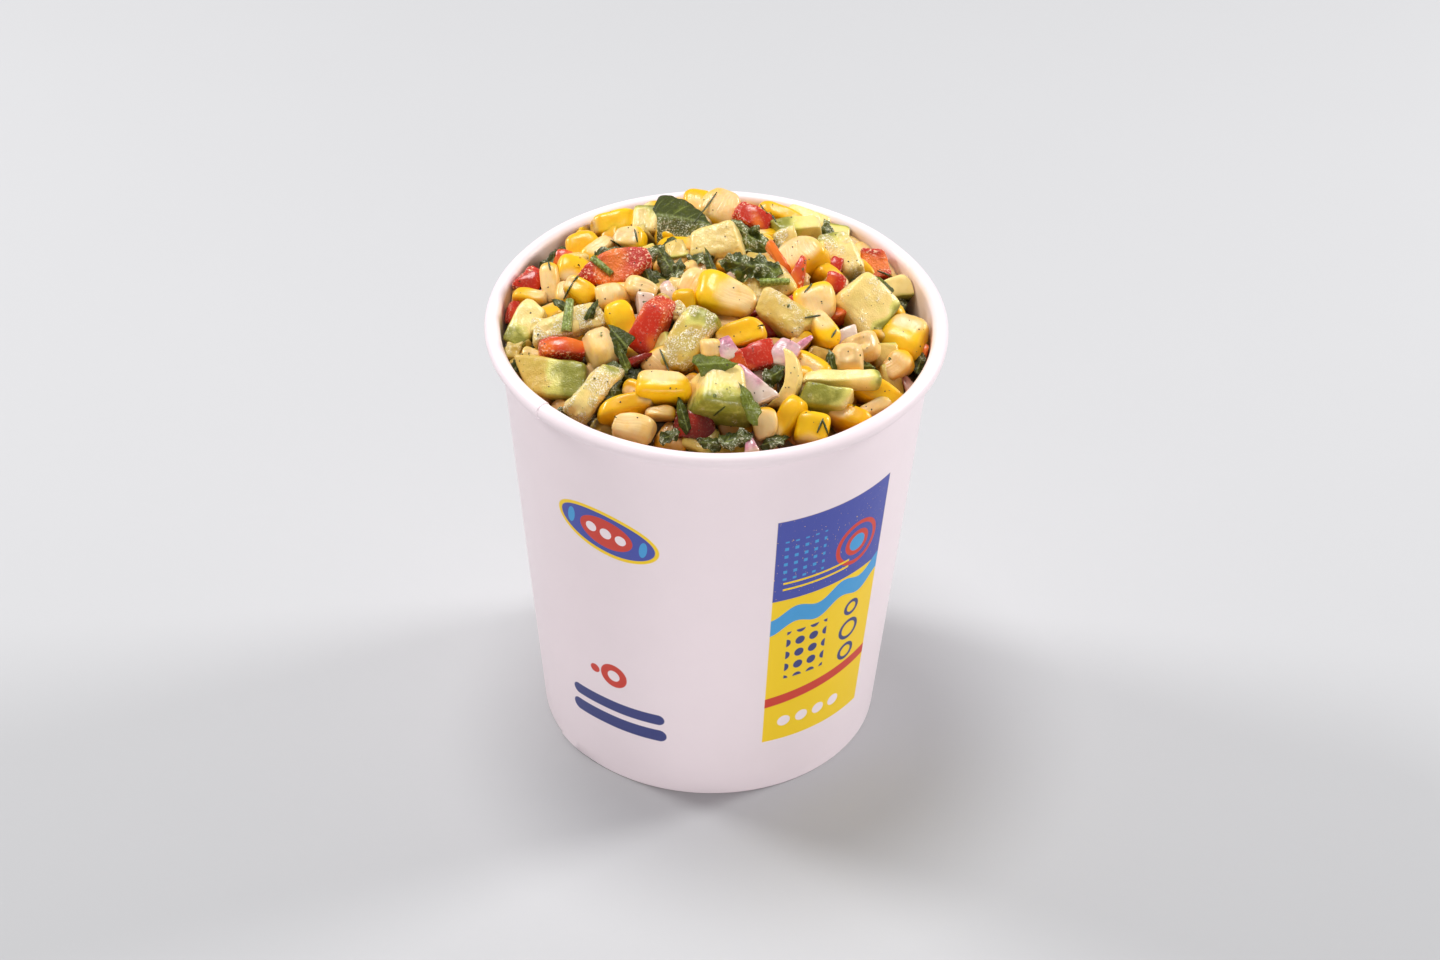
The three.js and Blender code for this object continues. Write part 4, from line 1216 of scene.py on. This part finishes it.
class StageSettings(bpy.types.PropertyGroup):
    """Floor and light."""

    floor_colour: colour("Floor", "Colour of the floor", (0.55, 0.55, 0.56))
    key_power: power("Key", "Large soft light at the left", 4.6)
    side_power: power("Side", "Large soft light at the right", 5.0)
    top_power: power("Top", "Soft light above", 3.9)
    front_power: power("Front", "Low soft light in front", 3.3)
    sky_strength: FloatProperty(
        name="Sky", description="Even light from all round", default=0.3, min=0.0
    )


class Maker(bpy.types.Operator):
    """Shared by the operators that make a piece."""

    bl_options = {"REGISTER", "UNDO"}


# The side seam, in degrees: plan angles of the lap's edge and of the step where it is folded into
# the roll, both at half height, and how far the seam leans for each millimetre of height
LAP_EDGE = -147.0
ROLL_STEP = -140.7
SEAM_LEAN = 0.058
# The roll's section, as angles round its middle: it starts at the wall and ends at its lip
ROLL_START = 176.0
ROLL_LIP = -120.0


class CUP_OT_wall(Maker):
    """Make the side of the cup: its wall with the lapped seam, the rolled rim and the hem"""

    bl_idname = "salad_cup.wall"
    bl_label = "Cup Wall"

    def execute(self, context):
        settings = context.scene.paper_cup
        cup = CupShape(settings)
        steps = np.linspace(-180, 180, settings.sides, endpoint=False)
        edges = [edge + shift for edge in (LAP_EDGE, ROLL_STEP) for shift in (-0.15, 0.0)]
        angles = np.unique(np.concatenate([steps, edges]))
        rows = self.section(cup, angles)
        count = len(angles)
        points, outside, inside = [], [], []
        for radius, z, out, within in rows:
            turn = np.radians(angles + SEAM_LEAN * (z - CUP_HEIGHT / 2))
            points.append(np.stack([radius * np.cos(turn), radius * np.sin(turn), z], axis=1))
            outside += [out] * count
            inside += [within] * count
        i, j = grid_indices(len(rows), count)
        i2, j2 = (i + 1) % len(rows), (j + 1) % count
        faces = np.stack([i * count + j, i * count + j2, i2 * count + j2, i2 * count + j], axis=1)
        batch = Batch()
        batch.add(np.concatenate(points), faces, outside=np.array(outside), inside=np.array(inside))
        wall = batch.build("paper_cup_wall", paper_finish(settings, cup), sharp=50)
        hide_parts("cup_wall")
        return {"FINISHED"}

    def section(self, cup, angles):
        """Rings of points up the outside, round the roll, down the inside and round the hem.

        Each has its radii, its heights, and its share of the printed outside and of the inside.
        """
        rim = np.stack([np.cos(np.radians(angles)), np.sin(np.radians(angles)), 0 * angles], axis=1)
        ply = np.where(angles >= LAP_EDGE, 1 - smooth(7, 26, angles - LAP_EDGE), 0.0)
        fold = np.where(angles < ROLL_STEP, 1 - smooth(4, 16, ROLL_STEP - angles), 0.0)
        swell = 0.05 * waves(rim * RIM_RADIUS, 22.0, 5) + 0.22 * fold
        sag = 6.0 * waves(rim * RIM_RADIUS, 16.0, 6)
        rows = []

        def ring(radius, z, outside=0.0, inside=0.0):
            radius, z = np.broadcast_to(radius, angles.shape), np.broadcast_to(z, angles.shape)
            rows.append((radius, z, outside, inside))

        def roll(angle, thick, inside=0.0):
            """A ring on the roll, whose lip hangs unevenly."""
            turn = np.radians(angle + (ROLL_START - angle) / (ROLL_START - ROLL_LIP) * sag)
            radius = cup.roll_r + thick * np.cos(turn)
            ring(radius, cup.roll_z + thick * np.sin(turn), inside=inside)

        hem = cup.hem_thickness
        for radius, z in ((-hem + 0.35, 0.0), (-0.45, 0.0), (-0.15, 0.06), (-0.02, 0.3)):
            ring(cup.wall(z) + radius, z)
        for z in np.linspace(0.6, cup.roll_z, 34):
            ring(cup.wall(z) + 0.9 * cup.board * ply, z, outside=1.0)
        for angle in np.linspace(ROLL_START, ROLL_LIP, 18):
            roll(angle, cup.roll - cup.board)
        for angle in np.linspace(ROLL_LIP, 180.0, 26):
            roll(angle, cup.roll + swell * smooth(185, 130, angle), inside=float(angle > 120))
        for z in np.linspace(cup.roll_z - 1.2, cup.hem_height + 0.6, 24):
            ring(cup.wall(z) - cup.board, z, inside=1.0)
        for z in (cup.hem_height, cup.hem_height - 0.3, 0.35, 0.05):
            ring(cup.wall(z) - hem, z)
        return rows


class CUP_OT_base(Maker):
    """Give the raised base disc its uncoated board finish"""

    bl_idname = "salad_cup.base"
    bl_label = "Cup Base"

    def execute(self, context):
        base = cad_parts["cup_base"]
        base.data.materials.clear()
        base.data.materials.append(base_finish(context.scene.paper_cup))
        return {"FINISHED"}


def finish_heap(piece):
    """Hide the solid heap, which the built pieces now show instead."""
    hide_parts("salad_heap")


class SALAD_OT_core(Maker):
    """Make the dressed mash that fills the cup and shows between the pieces, dark as painted shade in
    the gaps
    """

    bl_idname = "salad_cup.core"
    bl_label = "Mash"

    def execute(self, context):
        cup = CupShape(context.scene.paper_cup)
        fine = 110  # points along each side of its top and of its bottom
        gap, depth = 0.3, 5.5  # clear of the wall, and under the heap's face
        bottom, shoulder = cup.hem_height + 1.05, 94.0
        side = np.linspace(-1, 1, fine)
        u, v = [a.ravel() for a in np.meshgrid(side, side, indexing="ij")]
        x, y = u * np.sqrt(1 - v * v / 2), v * np.sqrt(1 - u * u / 2)
        reach = cup.wall(shoulder) - cup.board - gap
        top = np.stack([x * reach, y * reach, 0 * x], axis=1)
        lumps = 0.8 * waves(top, 6.0, 31) + 0.35 * waves(top, 2.2, 32)
        top[:, 2] = heap_height(top[:, 0], top[:, 1]) - depth + lumps
        foot = cup.wall(bottom) - cup.board - gap
        under = np.stack([x * foot, y * foot, np.full(fine * fine, bottom)], axis=1)
        batch = Batch()
        batch.add(cup.keep_inside(np.concatenate([top, under]), gap), two_faced(fine, fine))
        finish_heap(batch.build("salad_mash", mash_finish(context.scene.salad), sharp=60))
        return {"FINISHED"}


class SALAD_OT_kernels(Maker):
    """Make the sweet corn kernels"""

    bl_idname = "salad_cup.kernels"
    bl_label = "Corn Kernels"

    def execute(self, context):
        corn = Helping(context, "kernel", 101)
        for k, (x, y, *seen, turn, lift, lean, swing, pale) in enumerate(KERNELS):
            pose = Pose(x, y, np.multiply(seen, PLUMP), turn, lift, looking(lean, swing))
            corn.cut(pose, CUBE_MEDIUM, kernel, pale, cut_up=k in CUT_END_UP)
        for x, y, turn, lift in corn.under:
            seen = corn.random.uniform((8.5, 7, 6), (11, 9, 7))
            pose = Pose(x, y, seen, turn, lift, corn.shaken(x, y))
            pale = corn.random.uniform(0.0, 0.9)
            corn.cut(pose, CUBE_COARSE, kernel, pale)
        finish_heap(corn.batch.build("corn_kernels", kernel_finish(context.scene.salad)))
        return {"FINISHED"}


class SALAD_OT_avocado(Maker):
    """Make the diced avocado"""

    bl_idname = "salad_cup.avocado"
    bl_label = "Avocado"

    def execute(self, context):
        avocado = Helping(context, "avocado", 202)
        for k, (x, y, *seen, turn, lift, lean, swing, green, mashed, tan) in enumerate(AVOCADO):
            pose = Pose(x, y, np.multiply(seen, PLUMP), turn, lift, looking(lean, swing))
            bend = 0.2 if k in BENT else 0.0
            avocado.cut(pose, CUBE_FINE, chunk, green, mashed, tan, bend=bend)
        for x, y, turn, lift in avocado.under:
            seen = avocado.random.uniform((7.5, 6.5, 6), (10, 8.5, 7))
            pose = Pose(x, y, seen, turn, lift, avocado.shaken(x, y))
            green, mashed, tan = avocado.random.uniform(0.1, 1.0), 0.3, 0.6
            avocado.cut(pose, CUBE_COARSE, chunk, green, mashed, tan)
        finish_heap(avocado.batch.build("avocado_dice", avocado_finish(context.scene.salad)))
        return {"FINISHED"}


class SALAD_OT_pepper(Maker):
    """Make the red pepper pieces"""

    bl_idname = "salad_cup.pepper"
    bl_label = "Red Pepper"

    def execute(self, context):
        pepper = Helping(context, "pepper", 303)
        for x, y, *seen, turn, lift, lean, swing, skin_out, orange, point in PEPPER:
            pose = Pose(x, y, seen, turn, lift, looking(lean, swing))
            pepper.cut(pose, CUBE_FINE, slab, skin_out, orange, point)
        for x, y, turn, lift in pepper.under:
            seen = pepper.random.uniform((8, 6, 4), (11, 8, 5))
            pose = Pose(x, y, seen, turn, lift, pepper.shaken(x, y))
            skin_out, orange, point = 1, pepper.random.uniform(0, 0.6), 0.3
            pepper.cut(pose, CUBE_COARSE, slab, skin_out, orange, point)
        finish_heap(pepper.batch.build("red_pepper", pepper_finish(context.scene.salad)))
        return {"FINISHED"}


class SALAD_OT_onion(Maker):
    """Make the red onion pieces"""

    bl_idname = "salad_cup.onion"
    bl_label = "Red Onion"

    def execute(self, context):
        onion = Helping(context, "onion", 404)
        for x, y, *seen, turn, lift, lean, swing, purple, reach, point in ONION:
            pose = Pose(x, y, seen, turn, lift, looking(lean, swing))
            onion.cut(pose, CUBE_FINE, petal, purple, reach, point)
        for x, y, turn, lift in onion.under:
            pose = Pose(x, y, (9, 6, 3), turn, lift + 1, onion.shaken(x, y))
            purple, reach, point = 0.8, 0.5, 0.6
            onion.cut(pose, CUBE_COARSE, petal, purple, reach, point)
        finish_heap(onion.batch.build("red_onion", onion_finish(context.scene.salad)))
        return {"FINISHED"}


class SALAD_OT_leaves(Maker):
    """Make the herb leaves"""

    bl_idname = "salad_cup.leaves"
    bl_label = "Herb Leaves"

    def execute(self, context):
        herbs = Helping(context, "leaf", 505)
        for x, y, long, wide, folded, turn, lift, curly, dark in LEAVES:
            fine = 2 if long * wide > 50 else 1
            pose = Pose(x, y, (long, wide, 1), turn, lift + 0.15 * folded * wide, draped(x, y))
            points, faces, numbers = leaf(
                long, wide, folded, curly, dark, herbs.random, 26 * fine, 15 * fine
            )
            herbs.put(pose, points, faces, **numbers)
        for x, y, turn, lift in herbs.under:
            long, wide = herbs.random.uniform((6, 4), (9, 6))
            pose = Pose(x, y, (long, wide, 1), turn, lift + 1.6, herbs.shaken(x, y))
            folded, curly, dark = 0.3, 0.6, 0.9
            points, faces, numbers = leaf(long, wide, folded, curly, dark, herbs.random)
            herbs.put(pose, points, faces, **numbers)
        finish_heap(herbs.batch.build("herb_leaves", leaf_finish(context.scene.salad)))
        return {"FINISHED"}


SALAD_PIECES = (
    "corn_kernels", "avocado_dice", "red_pepper", "red_onion", "herb_leaves", "salad_mash",
)


class Surface:
    """The face of the heap as it has been built, to lay small things on."""

    ABOVE = 25  # how far off the heap's plain face the search for the built one starts

    def __init__(self):
        points, faces, count = [], [], 0
        for name in SALAD_PIECES:
            mesh = bpy.data.objects[name].data
            co = np.empty(len(mesh.vertices) * 3, np.float32)
            mesh.vertices.foreach_get("co", co)
            index = np.empty(len(mesh.loops), np.int32)
            mesh.loops.foreach_get("vertex_index", index)
            points.append(co.reshape(-1, 3) / MM)
            faces.append(index.reshape(-1, 4) + count)
            count += len(mesh.vertices)
        self.tree = BVHTree.FromPolygons(
            np.concatenate(points).tolist(), np.concatenate(faces).tolist(), epsilon=0.0
        )

    def find(self, x, y, toward):
        """The point and normal seen at a place in plan, looking against a direction."""
        base = Vector((x, y, float(heap_height(x, y))))
        sight = Vector(toward)
        return self.tree.ray_cast(base + sight * self.ABOVE, -sight, self.ABOVE + 15)[:2]

    def trace(self, x, y, span, turn, steps=13):
        """Points along a short line that follows the heap's face."""
        angle = math.radians(turn)
        way = ACROSS * math.cos(angle) + UPWARD * math.sin(angle)
        base = np.array([x, y, float(heap_height(x, y))])
        path = []
        for t in np.linspace(-0.5, 0.5, steps):
            start = Vector(base + way * (t * span) + TOWARD_VIEW * self.ABOVE)
            spot = self.tree.ray_cast(start, Vector(-TOWARD_VIEW), 2 * self.ABOVE)[0]
            if spot is not None:
                path.append(np.array(spot))
        path = np.array(path)
        depth = path @ TOWARD_VIEW
        level = np.maximum(depth, np.convolve(np.pad(depth, 3, "edge"), np.ones(7) / 7, "valid"))
        return path + (level - depth + 0.12)[:, None] * TOWARD_VIEW


class SALAD_OT_stems(Maker):
    """Make the cut herb stems, and the thin threads of dill that lie on the pieces"""

    bl_idname = "salad_cup.stems"
    bl_label = "Stems and Dill"

    def execute(self, context):
        stems = Helping(context, "stem", 606)
        surface = Surface()
        for x, y, long, wide, thick, turn, lift, dark in STEMS:
            pose = Pose(x, y, (long, wide, thick), turn, lift, draped(x, y))
            path = straight(long, 0.04)
            radii = wide / 2 * np.linspace(1.1, 0.85, len(path))
            points, faces = tube(path, radii, 14, 0.08)
            stems.put(pose, points, faces, pale=1 - 0.5 * dark)
        for x, y, span, turn in THREADS:
            path = surface.trace(x, y, span, turn)
            t = np.linspace(-1, 1, len(path))
            radii = 0.22 * (1 - 0.6 * t * t) + 0.02
            points, faces = tube(path, radii, 6)
            # The dill threads on top get none of the painted shade
            stems.batch.add(points, faces, pale=0.12, soak=0.0)
        finish_heap(stems.batch.build("herb_stems", stem_finish(context.scene.salad)))
        return {"FINISHED"}


def strewn(surface, count, random):
    """Random points and normals on the heap's face, spread evenly in plan."""
    reach = HEAP_REACH - 1.5
    found = []
    while len(found) < count:
        x, y = random.uniform(-reach, reach, 2)
        if math.hypot(x, y) > reach:
            continue
        toward = heap_normal(x, y) + TOWARD_VIEW
        spot, normal = surface.find(x, y, toward / np.linalg.norm(toward))
        if spot is not None and normal.z > 0.1:
            found.append((np.array(spot), np.array(normal)))
    return found


def lying(normal, random):
    """Axes of a small thing lying flat on a surface, turned at random."""
    way = np.cross(normal, random.normal(size=3))
    way /= np.linalg.norm(way)
    return np.array([way, np.cross(normal, way), normal])


class SALAD_OT_flakes(Maker):
    """Strew the chopped herb flakes"""

    bl_idname = "salad_cup.flakes"
    bl_label = "Herb Flakes"

    def execute(self, context):
        salad = context.scene.salad
        cup = CupShape(context.scene.paper_cup)
        random = np.random.default_rng(707)
        batch = Batch()
        for spot, normal in strewn(Surface(), salad.flakes, random):
            long = 0.3 + 1.3 * random.uniform(0, 1) ** 4
            wide = long * random.uniform(0.25, 0.7)
            dark = random.uniform(0.3, 1.0)
            points, faces, numbers = leaf(long, wide, 0.0, 0.4, dark, random, 8, 5)
            points[:, 2] += 0.1
            points = cup.keep_inside(points @ lying(normal, random) + spot, 0.3)
            batch.add(points, faces, **numbers)
        finish_heap(batch.build("herb_flakes", leaf_finish(salad)))
        return {"FINISHED"}


class SALAD_OT_specks(Maker):
    """Strew the ground pepper"""

    bl_idname = "salad_cup.specks"
    bl_label = "Ground Pepper"

    def execute(self, context):
        salad = context.scene.salad
        cup = CupShape(context.scene.paper_cup)
        random = np.random.default_rng(808)
        batch = Batch()
        for spot, normal in strewn(Surface(), salad.specks, random):
            size = random.uniform(0.08, 0.2)
            body = uneven(rounded(CUBE_SPECK[0], 3.0), 0.25, random) * size * (1, 0.8, 0.6)
            points = cup.keep_inside(body @ lying(normal, random) + spot, 0.3)
            batch.add(points, CUBE_SPECK[1])
        finish_heap(batch.build("pepper_specks", speck_finish()))
        return {"FINISHED"}


# The stage, in metres: half the width of its floor, and its soft lights, each with its name,
# place, width, height, and the setting that holds its power
FLOOR_HALF = 3.0
LIGHTS = (
    ("key_light", (-0.7, 0.3, 0.6), 0.24, 0.24, "key_power"),
    ("side_light", (0.75, 0.3, 0.5), 0.24, 0.24, "side_power"),
    ("top_light", (-0.1, 0.12, 0.9), 0.3, 0.3, "top_power"),
    ("front_light", (0.1, -0.9, 0.08), 0.9, 0.14, "front_power"),
)
LIGHTS_AIM = Vector((0, 0, 0.08))
# The camera stands where the photograph was taken from
LENS = 101.125
CAMERA_AIM = Vector((1.47, 0.0, 58.555)) * MM
CAMERA_AWAY = 879.7 * MM
CAMERA_RAISE = math.radians(38.05)
CAMERA_ROLL = math.radians(1.30)


class SALAD_OT_stage(Maker):
    """Make the floor, the soft lights and the camera"""

    bl_idname = "salad_cup.stage"
    bl_label = "Stage"

    def execute(self, context):
        scene = context.scene
        settings = scene.salad_stage
        floor = bpy.data.meshes.new("floor")
        square = ((-1, -1), (1, -1), (1, 1), (-1, 1))
        corners = [(x * FLOOR_HALF, y * FLOOR_HALF, 0) for x, y in square]
        floor.from_pydata(corners, [], [(0, 1, 2, 3)])
        floor.materials.append(floor_finish(settings.floor_colour))
        ground = bpy.data.objects.new("floor", floor)
        scene.collection.objects.link(ground)
        for name, place, width, height, setting in LIGHTS:
            self.light(name, place, width, height, getattr(settings, setting))
        world = bpy.data.worlds.new("even light")
        world.use_nodes = True
        sky = world.node_tree.nodes["Background"]
        sky.inputs["Color"].default_value = (0.98, 0.98, 1.0, 1)
        sky.inputs["Strength"].default_value = settings.sky_strength
        scene.world = world
        scene.view_settings.view_transform = "Standard"
        self.camera(scene)
        return {"FINISHED"}

    def light(self, name, place, width, height, watts):
        lamp = bpy.data.lights.new(name, "AREA")
        lamp.shape = "ELLIPSE"
        lamp.size = width
        lamp.size_y = height
        lamp.energy = watts
        stand = bpy.data.objects.new(name, lamp)
        stand.location = place
        aim = LIGHTS_AIM - Vector(place)
        stand.rotation_euler = aim.to_track_quat("-Z", "Y").to_euler()
        bpy.context.scene.collection.objects.link(stand)

    def camera(self, scene):
        eye = bpy.data.cameras.new("camera")
        eye.sensor_width = 36.0
        eye.lens = LENS
        eye.clip_start = 0.01
        sight = Vector((0, math.cos(CAMERA_RAISE), -math.sin(CAMERA_RAISE)))
        right = Vector((1, 0, 0))
        up = right.cross(sight)
        across = right * math.cos(CAMERA_ROLL) + up * math.sin(CAMERA_ROLL)
        rise = up * math.cos(CAMERA_ROLL) - right * math.sin(CAMERA_ROLL)
        turn = Matrix((across, rise, -sight)).transposed().to_4x4()
        camera = bpy.data.objects.new("camera", eye)
        camera.matrix_world = Matrix.Translation(CAMERA_AIM - sight * CAMERA_AWAY) @ turn
        scene.collection.objects.link(camera)
        scene.camera = camera


class SALAD_PT_panel(bpy.types.Panel):
    """Lists the settings and the pieces"""

    bl_label = "Salad Cup"
    bl_idname = "SALAD_PT_panel"
    bl_space_type = "VIEW_3D"
    bl_region_type = "UI"
    bl_category = "Salad Cup"

    def draw(self, context):
        for group in ("paper_cup", "salad", "salad_stage"):
            box = self.layout.box()
            settings = getattr(context.scene, group)
            for name in settings.bl_rna.properties.keys():
                if name not in ("rna_type", "name"):
                    box.prop(settings, name)
        for maker in MAKERS:
            self.layout.operator(maker.bl_idname)


MAKERS = (
    CUP_OT_wall, CUP_OT_base, SALAD_OT_core, SALAD_OT_kernels, SALAD_OT_avocado, SALAD_OT_pepper,
    SALAD_OT_onion, SALAD_OT_leaves, SALAD_OT_stems, SALAD_OT_flakes, SALAD_OT_specks, SALAD_OT_stage,
)
GROUPS = {"paper_cup": CupSettings, "salad": SaladSettings, "salad_stage": StageSettings}


def register():
    for name, group in GROUPS.items():
        bpy.utils.register_class(group)
        setattr(bpy.types.Scene, name, PointerProperty(type=group))
    for kind in (*MAKERS, SALAD_PT_panel):
        bpy.utils.register_class(kind)


def unregister():
    for kind in (SALAD_PT_panel, *reversed(MAKERS)):
        bpy.utils.unregister_class(kind)
    for name, group in GROUPS.items():
        delattr(bpy.types.Scene, name)
        bpy.utils.unregister_class(group)


def main():
    register()
    for maker in MAKERS:
        family, name = maker.bl_idname.split(".")
        getattr(getattr(bpy.ops, family), name)()


if __name__ == "__main__":
    main()
